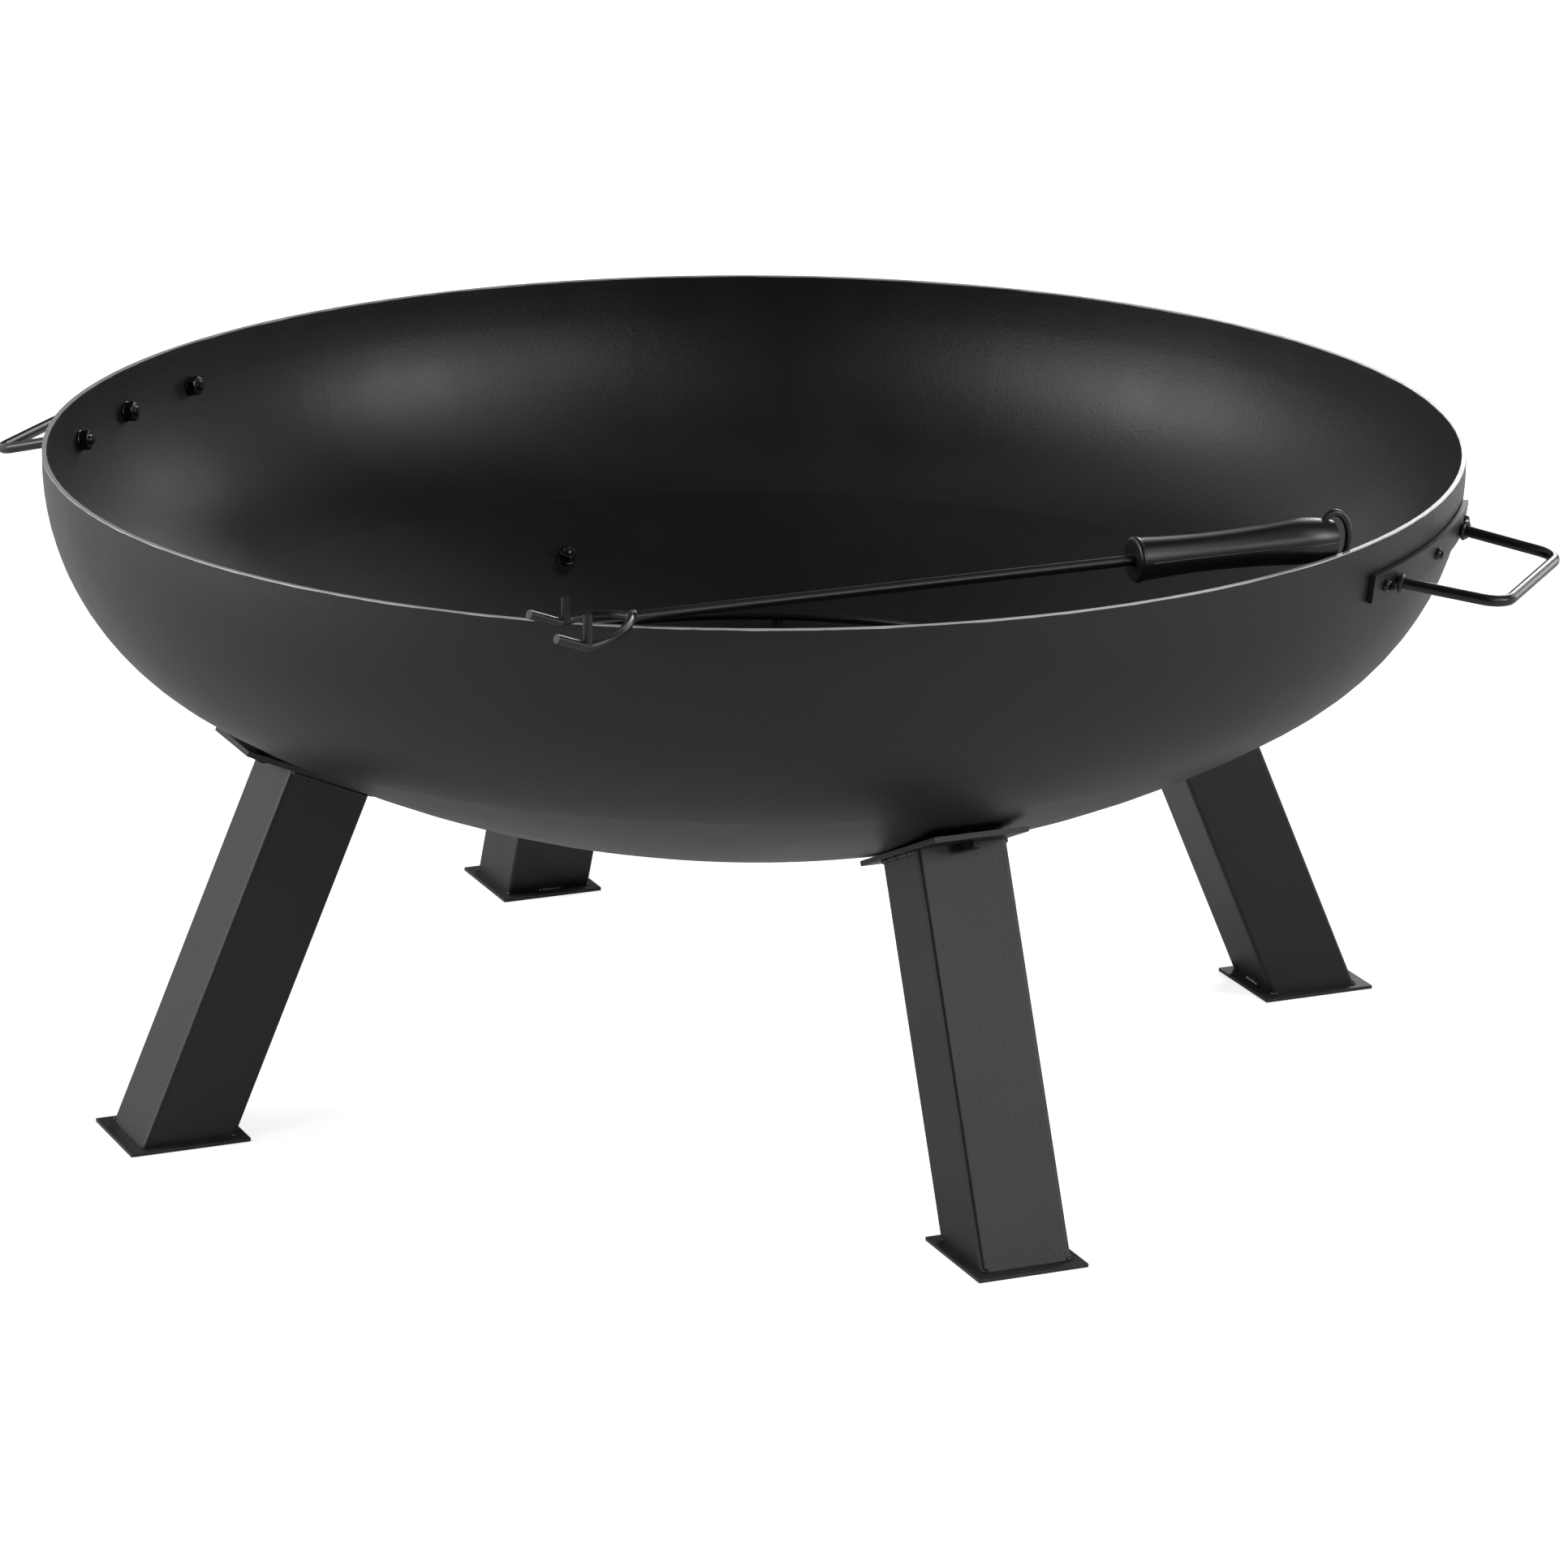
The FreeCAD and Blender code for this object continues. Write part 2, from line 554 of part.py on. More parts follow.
def build_handle_rod(name, turn, droop):
    """A rod bent to a tapered U, drooping a little, its ends cut to the strap's face."""
    root = -0.75 * Size.strap_height
    slope = (Size.handle_root_spread - Size.handle_end_spread) / Size.handle_reach
    root_spread = Size.handle_root_spread - root * slope
    body = new_body(f"{name}_handle_bend")
    path = new_sketch(body, f"{name}_handle_path", "XY_Plane")
    corner = math.degrees(math.atan2(1, slope)) / 2
    tangent = Size.handle_bend / math.tan(math.radians(90 - corner)) if corner else 0
    reach, spread = Size.handle_reach, Size.handle_end_spread
    lower = line(path, (root, -root_spread), (reach - tangent, -spread - tangent * slope))
    cross = line(path, (reach, -spread + tangent), (reach, spread - tangent))
    upper = line(path, (reach - tangent, spread + tangent * slope), (root, root_spread))
    centre_x = reach - Size.handle_bend
    centre_y = spread - tangent
    lean = math.degrees(math.atan(slope))
    low_bend = arc(path, (centre_x, -centre_y), Size.handle_bend, 270 - lean, 360)
    high_bend = arc(path, (centre_x, centre_y), Size.handle_bend, 0, 90 + lean)
    constrain(path, "Tangent", lower, 2, low_bend, 1)
    constrain(path, "Tangent", low_bend, 2, cross, 1)
    constrain(path, "Tangent", cross, 2, high_bend, 1)
    constrain(path, "Tangent", high_bend, 2, upper, 1)
    constrain(path, "Symmetric", lower, 1, upper, 2, -1)
    constrain(path, "Equal", low_bend, high_bend)
    constrain(path, "Symmetric", cross, 1, cross, 2, -1)
    measure(path, "bend", "handle_bend", "Radius", low_bend, Size.handle_bend)
    measure(path, "reach", "handle_reach", "DistanceX", -1, 1, cross, 1, reach)
    measure(path, "root", "0.75 * strap_height", "DistanceX", lower, 1, -1, 1, -root)
    measure(path, "root_spread",
            "handle_root_spread"
            " + 0.75 * strap_height * (handle_root_spread - handle_end_spread) / handle_reach",
            "DistanceY", lower, 1, -1, 1, root_spread)
    measure(path, "cross_bar", f"2 * handle_end_spread - {2 * tangent}", "DistanceY", cross, 1, cross, 2,
            2 * centre_y)
    section = new_sketch(body, f"{name}_handle_section", "YZ_Plane")
    section.AttachmentOffset = at(-root_spread, 0, root)
    ring = section.addGeometry(Part.Circle(Vector(0, 0, 0), Vector(0, 0, 1), Size.handle_rod_radius))
    constrain(section, "Coincident", ring, 3, -1, 1)
    measure(section, "rod", "handle_rod_radius", "Radius", ring, Size.handle_rod_radius)
    doc.recompute()
    pipe = body.newObject("PartDesign::AdditivePipe", f"{name}_handle_pipe")
    pipe.Profile = section
    pipe.Spine = (path, [])
    pipe.Mode = "Standard"
    root_frame = wall_frame(0) * at(Size.handle_rod_drop, 0, Size.seat_clearance + Size.strap_sheet)
    body.Placement = root_frame * at(rotation=about("y", droop - 90))
    keep_out = strap_cone(f"{name}_handle_keep_out", "seat_clearance + strap_sheet")
    return cut(f"handle_rod_{name}", body, keep_out, at(rotation=about("z", turn)))


def build_handles():
    pieces = []
    for name, turn, droop in HANDLE_SIDES:
        pieces.append(build_strap(name, turn))
        pieces.append(build_handle_rod(name, turn, droop))
    seat = Size.seat_clearance + Size.strap_sheet + Size.seat_clearance
    frames = [
        wall_frame(turn + step * Size.handle_bolt_angle) * at(0, 0, seat, about("x", HALF_TURN))
        for _, turn, _ in HANDLE_SIDES for step in (-1, 0, 1)]
    pieces += fastener_sets(
        "handle", button_bolt, frames,
        lambda index: "strap_sheet + 2 * seat_clearance + bowl_sheet",
        lambda index: seat + Size.bowl_sheet + Size.seat_clearance)
    return pieces


# ---------------------------------------------------------------- grate

def grate_height():
    """Middle of the grate's ring, from where the ends of the cross rods rest on the bowl."""
    reach = GRATE_RADIUS + Size.grate_rod_radius + Size.grate_foot_reach
    inside = Size.crown_radius - Size.bowl_sheet
    rest = CROWN_CENTRE_HEIGHT - math.sqrt(inside ** 2 - reach ** 2) + Size.rest_clearance
    return rest + 3 * Size.grate_rod_radius + Size.bore_clearance


def build_grate():
    frame = at(0, 0, grate_height(), about("z", Size.grate_turn))
    below = -2 * Size.grate_rod_radius - Size.bore_clearance
    ring_sizes = {"Radius1": f"{GRATE_RADIUS}", "Radius2": "grate_rod_radius"}
    ring = primitive("Torus", "grate_ring", frame, **ring_sizes)
    ring_space = primitive("Torus", "grate_ring_space", **ring_sizes)
    along_x = about("y", 90)
    bar_level = Size.grate_bar_radius - Size.grate_rod_radius + Size.bore_clearance
    bars = []
    for index in range(BAR_PAIRS):
        offset = (index + 0.5) * Size.grate_bar_pitch
        half_chord = math.sqrt(GRATE_RADIUS ** 2 - offset ** 2)
        for side in (1, -1):
            place = at(-half_chord, side * offset, bar_level, along_x)
            blank = primitive(
                "Cylinder", f"grate_bar_blank_{len(bars)}", place, Radius="grate_bar_radius",
                Height=f"2 * sqrt({GRATE_RADIUS} ^ 2 - ({index + 0.5} * grate_bar_pitch) ^ 2)")
            bars.append(cut(f"grate_bar_{len(bars)}", blank, ring_space, frame))
    reach = f"{GRATE_RADIUS} + grate_rod_radius + grate_foot_reach"
    half = GRATE_RADIUS + Size.grate_rod_radius + Size.grate_foot_reach
    cross_rod = primitive("Cylinder", "grate_cross_rod", frame * at(0, -half, below, about("x", -90)),
                          Radius="grate_rod_radius", Height=f"2 * ({reach})")
    sides = [
        primitive("Cylinder", f"grate_side_rod_{number}",
                  frame * at(rotation=about("z", turn)) * at(0, 0, below, along_x),
                  Radius="grate_rod_radius", Height=reach)
        for number, turn in enumerate((0, HALF_TURN))]
    side_rods = cut("grate_side_rods", group("grate_side_rod_blanks", sides), cross_rod)
    return [ring, group("grate_bars", bars), cross_rod, side_rods]


# ---------------------------------------------------------------- lifting tool

def circle_through(first, second):
    """Centre and radius of the circle through the origin and two points."""
    (ax, ay), (bx, by) = first, second
    a_square, b_square = ax ** 2 + ay ** 2, bx ** 2 + by ** 2
    scale = 2 * (ax * by - ay * bx)
    centre = ((a_square * by - b_square * ay) / scale, (b_square * ax - a_square * bx) / scale)
    return centre, math.hypot(*centre)


def fork_point(reach, half_width, side):
    """A point of the near (+1) or far (-1) arm, seen along the fork, which leans sideways as it goes."""
    return (reach, side * half_width + Size.fork_sideways * reach / Size.fork_reach)


def build_fork():
    """Two arms that bow out from the rod's end, each running on into a rising tine, a post at its bend."""
    facing_out = about("z", HALF_TURN) * about("x", -Size.fork_roll) * about("y", Size.fork_dip)
    frame = TOOL_FRAME * at(rotation=facing_out)
    skew = math.degrees(math.atan2(Size.fork_sideways, Size.fork_reach))
    pieces = [primitive("Sphere", "fork_joint", frame, Radius="fork_rod_radius")]
    posts = []
    for name, side, setback in (("far", -1, Size.far_post_setback), ("near", 1, 0.0)):
        shoulder = fork_point(Size.fork_shoulder_reach, Size.fork_shoulder_width, side)
        bend = fork_point(Size.fork_reach, Size.fork_half_width, side)
        (centre_x, centre_y), radius = circle_through(shoulder, bend)
        at_joint = math.degrees(math.atan2(-centre_y, -centre_x))
        at_bend = math.degrees(math.atan2(bend[1] - centre_y, bend[0] - centre_x))
        sweep = side * (at_joint - at_bend) % FULL_TURN
        arm = primitive("Torus", f"fork_arm_{name}",
                        frame * at(centre_x, centre_y, 0, about("z", at_bend if side > 0 else at_joint)),
                        Radius2="fork_rod_radius")
        arm.Radius1 = radius
        arm.Angle3 = sweep
        corner = frame * at(*bend)
        elbow = primitive("Sphere", f"fork_elbow_{name}", corner, Radius="fork_rod_radius")
        tine = primitive("Cylinder", f"fork_tine_{name}",
                         corner * at(rotation=about("z", skew) * about("y", 90 - Size.tine_rise)),
                         Radius="fork_rod_radius", Height="tine_length")
        pieces += [arm, elbow, tine]
        foot = corner * Vector(-setback, 0, 0)
        posts.append((name, primitive("Cylinder", f"fork_post_{name}", Placement(foot, TOOL_FRAME.Rotation),
                                      Radius="fork_rod_radius", Height=f"{name}_post_height")))
    fork = fuse("lifter_fork", pieces)
    return [fork] + [cut(f"lifter_post_{name}", blank, fork) for name, blank in posts]


def build_rod(fork):
    blank = primitive("Cylinder", "lifter_rod_blank", TOOL_FRAME * at(rotation=about("y", 90)),
                      Radius="tool_rod_radius", Height="tool_rod_length + tang_length")
    return cut("lifter_rod", blank, fork)


def build_grip():
    """Moulded grip: collar, waist and swell turned about the rod, with an upright eye at its end."""
    frame = TOOL_FRAME * at(Size.tool_rod_length)
    body = new_body("grip_moulding", frame)
    profile = new_sketch(body, "grip_profile", "XZ_Plane")
    bore = Size.tool_rod_radius + Size.bore_clearance
    depth = Size.tang_length + Size.bore_clearance
    waist = Size.grip_waist_bend
    waist_y = Size.grip_collar_radius + math.sqrt(waist ** 2 - Size.grip_waist_at ** 2)
    # the swell's arc touches the waist's arc and ends at the grip's end
    rest = Size.grip_length - Size.grip_swell_at
    gap = waist_y - Size.grip_end_radius
    run = Size.grip_swell_at - Size.grip_waist_at
    swell = swell_radius(waist, run, gap, rest)
    swell_y = Size.grip_end_radius - math.sqrt(swell ** 2 - rest ** 2)
    meet = math.degrees(math.atan2(swell_y - waist_y, run))
    left = math.degrees(math.asin(Size.grip_waist_at / waist))
    end = math.degrees(math.asin(rest / swell))
    waist_arc = arc(profile, (Size.grip_waist_at, waist_y), waist, 270 - left, 360 + meet)
    swell_arc = arc(profile, (Size.grip_swell_at, swell_y), swell, 90 - end, 180 + meet)
    face = line(profile, (0, bore), (0, Size.grip_collar_radius))
    tail = line(profile, (Size.grip_length, Size.grip_end_radius), (Size.grip_length, 0))
    axis = line(profile, (Size.grip_length, 0), (depth, 0))
    floor = line(profile, (depth, 0), (depth, bore))
    wall = line(profile, (depth, bore), (0, bore))
    constrain(profile, "Coincident", face, 2, waist_arc, 1)
    constrain(profile, "Tangent", waist_arc, 2, swell_arc, 2)
    constrain(profile, "Coincident", swell_arc, 1, tail, 1)
    for before, after in ((tail, axis), (axis, floor), (floor, wall), (wall, face)):
        constrain(profile, "Coincident", before, 2, after, 1)
    constrain(profile, "PointOnObject", wall, 2, -2)
    constrain(profile, "PointOnObject", face, 2, -2)
    constrain(profile, "PointOnObject", tail, 2, -1)
    constrain(profile, "PointOnObject", axis, 2, -1)
    constrain(profile, "Vertical", tail)
    constrain(profile, "Vertical", floor)
    constrain(profile, "Horizontal", wall)
    measure(profile, "bore", "tool_rod_radius + bore_clearance", "DistanceY", -1, 1, face, 1, bore)
    measure(profile, "depth", "tang_length + bore_clearance", "DistanceX", -1, 1, floor, 1, depth)
    measure(profile, "collar", "grip_collar_radius", "DistanceY", -1, 1, face, 2, Size.grip_collar_radius)
    measure(profile, "length", "grip_length", "DistanceX", -1, 1, tail, 1, Size.grip_length)
    measure(profile, "end", "grip_end_radius", "DistanceY", -1, 1, tail, 1, Size.grip_end_radius)
    measure(profile, "waist_at", "grip_waist_at", "DistanceX", -1, 1, waist_arc, 3, Size.grip_waist_at)
    measure(profile, "waist_bend", "grip_waist_bend", "Radius", waist_arc, waist)
    measure(profile, "swell_at", "grip_swell_at", "DistanceX", -1, 1, swell_arc, 3, Size.grip_swell_at)
    turned = body.newObject("PartDesign::Revolution", "grip_turned")
    turned.Profile = profile
    turned.ReferenceAxis = (profile, ["H_Axis"])
    turned.Angle = FULL_TURN
    middle = Size.grip_length + Size.eye_offset
    upright = about("y", -90) * about("x", 90)
    spine = primitive("Ellipse", "eye_path", frame * at(middle, 0, 0, upright),
                      MajorRadius="eye_half_height", MinorRadius="eye_half_reach")
    on_spine = spine.Placement * at(Size.eye_half_height, 0, 0, about("x", 90))
    section = primitive("Circle", "eye_section", on_spine, Radius="eye_rod_radius")
    eye = doc.addObject("Part::Sweep", "grip_eye")
    eye.Sections = [section]
    eye.Spine = (spine, ["Edge1"])
    eye.Solid = True
    eye.Frenet = True
    return fuse("lifter_grip", [body, eye])


def swell_radius(waist, run, gap, rest):
    """Radius of the arc that touches the waist's arc from below and passes the grip's end."""
    low, high = rest + 1, 1000.0
    for _ in range(60):
        radius = (low + high) / 2
        drop = gap + math.sqrt(radius ** 2 - rest ** 2)
        if math.hypot(run, drop) < waist + radius:
            low = radius
        else:
            high = radius
    return radius


def build_tool():
    fork_pieces = build_fork()
    return fork_pieces + [build_rod(fork_pieces[0]), build_grip()]


# ---------------------------------------------------------------- build, check and write

pieces = build_bowl() + build_legs() + build_handles() + build_grate() + build_tool()
doc.recompute()
for item in doc.Objects:
    if {"Invalid", "Error"} & set(item.State):
        raise RuntimeError(f"{item.Label} failed: {item.State}")
os.makedirs("parts", exist_ok=True)
for piece in pieces:
    shape = piece.Shape
    if shape.isNull() or not shape.isValid() or not shape.Solids:
        raise RuntimeError(f"{piece.Label} has no valid solid")
    shape.exportStep(f"parts/{piece.Label}.step")
    print(f"{piece.Label}: {len(shape.Solids)} solids, {shape.Volume / 1000:.1f} cm3")
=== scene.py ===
"""Looks of a black steel fire pit: finishes, welds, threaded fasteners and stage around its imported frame."""

import math
import random

import bmesh
import bpy
from mathutils import Matrix, Vector


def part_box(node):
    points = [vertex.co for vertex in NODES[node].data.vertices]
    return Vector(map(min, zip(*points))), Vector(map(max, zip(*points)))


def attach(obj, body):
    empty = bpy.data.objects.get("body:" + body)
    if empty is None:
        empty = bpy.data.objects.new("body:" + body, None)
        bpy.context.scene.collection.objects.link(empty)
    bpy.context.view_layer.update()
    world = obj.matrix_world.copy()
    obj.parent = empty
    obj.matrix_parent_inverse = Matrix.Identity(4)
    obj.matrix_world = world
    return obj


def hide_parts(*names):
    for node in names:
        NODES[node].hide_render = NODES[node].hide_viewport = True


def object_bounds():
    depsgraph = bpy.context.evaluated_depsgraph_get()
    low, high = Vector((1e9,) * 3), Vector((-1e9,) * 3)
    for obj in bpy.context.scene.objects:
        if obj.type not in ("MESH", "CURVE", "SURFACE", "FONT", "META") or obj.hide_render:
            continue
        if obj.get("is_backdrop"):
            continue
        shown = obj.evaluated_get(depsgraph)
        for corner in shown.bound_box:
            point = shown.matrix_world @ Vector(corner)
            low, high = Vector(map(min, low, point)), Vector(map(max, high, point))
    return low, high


bl_info = {
    "name": "Fire Pit With Grate",
    "version": (1, 0, 0),
    "blender": (4, 5, 0),
    "location": "View3D > Sidebar > Fire Pit",
    "description": "Finishes, welds and fasteners of a steel fire bowl, and its studio",
    "category": "Object",
}

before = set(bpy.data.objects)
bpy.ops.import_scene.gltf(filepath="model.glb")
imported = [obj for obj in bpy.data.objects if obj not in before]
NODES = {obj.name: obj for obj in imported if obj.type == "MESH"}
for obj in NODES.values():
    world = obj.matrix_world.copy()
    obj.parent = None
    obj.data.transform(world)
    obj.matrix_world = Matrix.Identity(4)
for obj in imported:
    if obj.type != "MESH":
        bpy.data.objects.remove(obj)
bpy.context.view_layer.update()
MM = 0.001
LEGS = ("front_right", "rear_right", "rear_left", "front_left")
SIDES = ("right", "left")
TOUCH = 0.1 * MM
SAME_POINT = 1e-6
SHADE_ANGLE = math.radians(35)
RIM_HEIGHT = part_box("bowl")[1].z


# ---------------------------------------------------------------- what a user would change

class FirePitSizes(bpy.types.PropertyGroup):
    """Sizes of what is welded, threaded or moulded."""

    weld_radius: bpy.props.FloatProperty(
        name="Weld bead", description="Radius of a weld bead", default=2.0 * MM,
        min=0.5 * MM, unit="LENGTH", precision=4)
    weld_pitch: bpy.props.FloatProperty(
        name="Weld ripple", description="Spacing of the ripples along a bead", default=2.4 * MM,
        min=1.0 * MM, unit="LENGTH", precision=4)
    tack_radius: bpy.props.FloatProperty(
        name="Tack", description="Radius of a small tack weld", default=1.4 * MM,
        min=0.5 * MM, unit="LENGTH", precision=4)
    tack_length: bpy.props.FloatProperty(
        name="Corner tack", description="How far a corner weld runs along each side of a leg",
        default=3 * MM, min=1 * MM, unit="LENGTH", precision=4)
    stitch_length: bpy.props.FloatProperty(
        name="Stitch", description="Length of the weld on a leg's inner side",
        default=18 * MM, min=4 * MM, unit="LENGTH", precision=4)
    thread_pitch: bpy.props.FloatProperty(
        name="Thread pitch", description="Pitch of the coarse thread on the bolts", default=1.0 * MM,
        min=0.4 * MM, unit="LENGTH", precision=4)
    hex_width: bpy.props.FloatProperty(
        name="Across flats", description="Width of the nuts and hexagon heads", default=10 * MM,
        min=4 * MM, unit="LENGTH", precision=4)
    parting_rib: bpy.props.FloatProperty(
        name="Parting line", description="Radius of the moulding line round the grip",
        default=0.45 * MM, min=0.1 * MM, unit="LENGTH", precision=5)


class FirePitColours(bpy.types.PropertyGroup):
    """Colours, as sRGB hex values."""

    paint: bpy.props.StringProperty(
        name="Paint", description="Heat-proof black paint on the steel", default="121212")
    # A dry film on the paint and on the grip; the foot plates' mask of dust and painted sheen shares this
    # name.
    dust_and_sheen: bpy.props.StringProperty(
        name="Paint, dry film", description="Where the sprayed paint lies thin and dry", default="171716")
    # The foot plates' lighter grey: dust, and painted sheen for the light their upper side reflects.
    plate_sheen_and_dust: bpy.props.StringProperty(
        name="Dusty paint with painted sheen", description="Grey of the foot plates' dusty patches and painted sheen", default="3a3a38")
    bare: bpy.props.StringProperty(
        name="Bare steel", description="Steel that shows where the rim has lost its paint", default="d4d4d0")
    blacking: bpy.props.StringProperty(
        name="Blacked steel", description="Oil-blacked nuts, bolts and washers", default="121212")
    dry_blacking: bpy.props.StringProperty(
        name="Dry blacking", description="Blacked steel where the oil has dried", default="1c1c1c")
    # The fork's grey patches: rubbed paint, and painted sheen for the tines' bright tops.
    rubbed_steel_and_sheen: bpy.props.StringProperty(
        name="Rubbed steel and painted sheen", description="Grey of the fork's rubbed patches and painted sheen", default="4a4a48")
    grip: bpy.props.StringProperty(
        name="Grip", description="Moulded grip of the lifting tool", default="131313")
    floor: bpy.props.StringProperty(
        name="Floor", description="Studio floor", default="f4f4f4")


class FirePitStudio(bpy.types.PropertyGroup):
    """Where the camera stands."""

    azimuth: bpy.props.FloatProperty(
        name="Azimuth", description="Camera's turn round the bowl", default=math.radians(21.85),
        subtype="ANGLE")
    elevation: bpy.props.FloatProperty(
        name="Elevation", description="Camera's angle above the horizon", default=math.radians(17.10),
        subtype="ANGLE")
    roll: bpy.props.FloatProperty(
        name="Roll", description="Camera's turn about its own line of sight",
        default=math.radians(0.31), subtype="ANGLE")
    distance: bpy.props.FloatProperty(
        name="Distance", description="From the camera to the plane of the bowl's middle",
        default=4.1659, unit="LENGTH")
    lens: bpy.props.FloatProperty(
        name="Lens", description="Focal length on a 36 mm sensor", default=165.2, subtype="DISTANCE_CAMERA")
    look_up: bpy.props.FloatProperty(
        name="Framing height", description="Height in the picture plane that the lens points at",
        default=0.1558, unit="LENGTH")
    look_right: bpy.props.FloatProperty(
        name="Framing side", description="Sideways place in the picture plane that the lens points at",
        default=0.0186, unit="LENGTH")


def sizes():
    """The sizes as set in the panel."""
    return bpy.context.scene.fire_pit_sizes


def colours():
    """The colours as set in the panel."""
    return bpy.context.scene.fire_pit_colours


# ---------------------------------------------------------------- materials

def linear(hex_colour):
    """An sRGB hex value as linear red, green, blue and alpha."""
    parts = [int(hex_colour[i:i + 2], 16) / 255 for i in (0, 2, 4)]
    return (*(c / 12.92 if c <= 0.04045 else ((c + 0.055) / 1.055) ** 2.4 for c in parts), 1)


def node(tree, kind, settings=None, **inputs):
    """Adds a node, sets its properties, and sets or links each named input."""
    made = tree.nodes.new(kind)
    for name, value in (settings or {}).items():
        setattr(made, name, value)
    for name, value in inputs.items():
        socket = made.inputs[int(name[1:])] if name[0] == "_" else made.inputs[name.replace("_", " ")]
        if isinstance(value, bpy.types.NodeSocket):
            tree.links.new(value, socket)
        else:
            socket.default_value = value
    return made


def new_material(name):
    """An empty node material: (material, its tree, its object coordinates, its Principled shader)."""
    material = bpy.data.materials.new(name)
    material.use_nodes = True
    tree = material.node_tree
    tree.nodes.clear()
    place = tree.nodes.new("ShaderNodeTexCoord").outputs["Object"]
    shader = node(tree, "ShaderNodeBsdfPrincipled")
    node(tree, "ShaderNodeOutputMaterial", Surface=shader.outputs["BSDF"])
    return material, tree, place, shader


def grain(tree, place, size, detail=1.0):
    """Noise whose grains are about this size, in metres."""
    return node(tree, "ShaderNodeTexNoise", Vector=place, Scale=1 / size, Detail=detail).outputs["Fac"]


def spread(tree, value, low, high, new_low, new_high):
    """Value's stretch from low to high, spread over the new range."""
    made = node(tree, "ShaderNodeMapRange", {"clamp": True}, Value=value)
    for name, at in (("From Min", low), ("From Max", high), ("To Min", new_low), ("To Max", new_high)):
        made.inputs[name].default_value = at
    return made.outputs["Result"]


def maths(tree, operation, first, second):
    """One operation on two values or sockets."""
    return node(tree, "ShaderNodeMath", {"operation": operation}, _0=first, _1=second).outputs[0]


def blend_colours(tree, share, first, second):
    """From the first colour at share 0 to the second at share 1."""
    made = node(tree, "ShaderNodeMix", {"data_type": "RGBA"}, _0=share)
    for socket, value in ((made.inputs[6], first), (made.inputs[7], second)):
        if isinstance(value, bpy.types.NodeSocket):
            tree.links.new(value, socket)
        else:
            socket.default_value = value
    return made.outputs[2]


def show_through(tree, shader, share, colour):
    """Lets a colour show through the shader's own, by this share."""
    paint = shader.inputs["Base Color"].links[0].from_socket
    tree.links.new(blend_colours(tree, share, paint, linear(colour)), shader.inputs["Base Color"])


def stove_paint(name="Stove paint, sprayed satin black", peel=2.2 * MM, depth=0.16 * MM, rough=0.40):
    """Silicone stove paint sprayed on pressed steel: satin, with orange peel of about 2 mm and a dry
    grit on top, so wide highlights break into fine grain."""
    material, tree, place, shader = new_material(name)
    soft_peel = grain(tree, place, peel)
    grit = grain(tree, place, 0.8 * MM, 2.0)
    height = maths(tree, "ADD", soft_peel, maths(tree, "MULTIPLY", grit, 0.6))
    bump = node(tree, "ShaderNodeBump", Strength=0.5, Distance=depth, Height=height)
    drift = grain(tree, place, 70 * MM, 2.0)
    colour = blend_colours(tree, spread(tree, drift, 0.35, 0.65, 0, 1),
                           linear(colours().paint), linear(colours().dust_and_sheen))
    tree.links.new(colour, shader.inputs["Base Color"])
    tree.links.new(spread(tree, drift, 0.3, 0.7, rough, rough + 0.06), shader.inputs["Roughness"])
    tree.links.new(bump.outputs["Normal"], shader.inputs["Normal"])
    shader.inputs["IOR"].default_value = 1.5
    return material, tree, place, shader


def bowl_paint():
    """The same paint on the bowl, worn off along the sheared rim, where bright steel shows in an
    uneven line."""
    material, tree, place, shader = stove_paint("Stove paint worn at the rim")
    height = node(tree, "ShaderNodeSeparateXYZ", Vector=place).outputs["Z"]
    ragged = spread(tree, grain(tree, place, 25 * MM, 2.0), 0.3, 0.7, -0.25 * MM, 0.25 * MM)
    worn = spread(tree, maths(tree, "ADD", height, ragged),
                  RIM_HEIGHT - 0.7 * MM, RIM_HEIGHT - 0.3 * MM, 0, 1)
    show_through(tree, shader, worn, colours().bare)
    tree.links.new(maths(tree, "MULTIPLY", worn, 0.6), shader.inputs["Metallic"])
    return material


def rod_paint():
    """The same paint on drawn rod: smoother and glossier, because the rod under it is smooth."""
    return stove_paint("Stove paint on drawn rod", peel=1.2 * MM, depth=0.04 * MM, rough=0.28)[0]


def rubbed_and_sheen_rod_paint():
    """The rod's paint on the fork, turned to grey metallic steel in patches all over it: rubbed paint, and
    painted sheen for the tines' bright tops.
    """
    material, tree, place, shader = stove_paint(
        "Stove paint rubbed on the fork, with painted sheen", peel=1.2 * MM, depth=0.04 * MM, rough=0.30)
    # Painted sheen and rubbing: grey metallic patches that lighten the fork.
    rub_and_sheen = spread(tree, grain(tree, place, 3 * MM, 3.0), 0.45, 0.75, 0, 0.4)
    show_through(tree, shader, rub_and_sheen, colours().rubbed_steel_and_sheen)
    tree.links.new(rub_and_sheen, shader.inputs["Metallic"])
    return material


def foot_paint_with_sheen():
    """The same paint on the foot plates, blended in patches towards a lighter grey all over them: dust, and
    painted sheen for the light their flat upper side would reflect.
    """
    material, tree, place, shader = stove_paint("Stove paint, dusty, with painted sheen", rough=0.44)
    # Painted sheen and dust: the plates turn towards the lighter grey in patches, so they look lighter under
    # any lamp.
    dust_and_sheen = spread(tree, grain(tree, place, 12 * MM, 3.0), 0.3, 0.7, 0.35, 0.9)
    show_through(tree, shader, dust_and_sheen, colours().plate_sheen_and_dust)
    return material


def weld_paint():
    """Paint over weld metal: a lumpy, spattered skin, a little glossier than the sheet."""
    return stove_paint("Stove paint over weld metal", peel=1.0 * MM, depth=0.2 * MM, rough=0.30)[0]


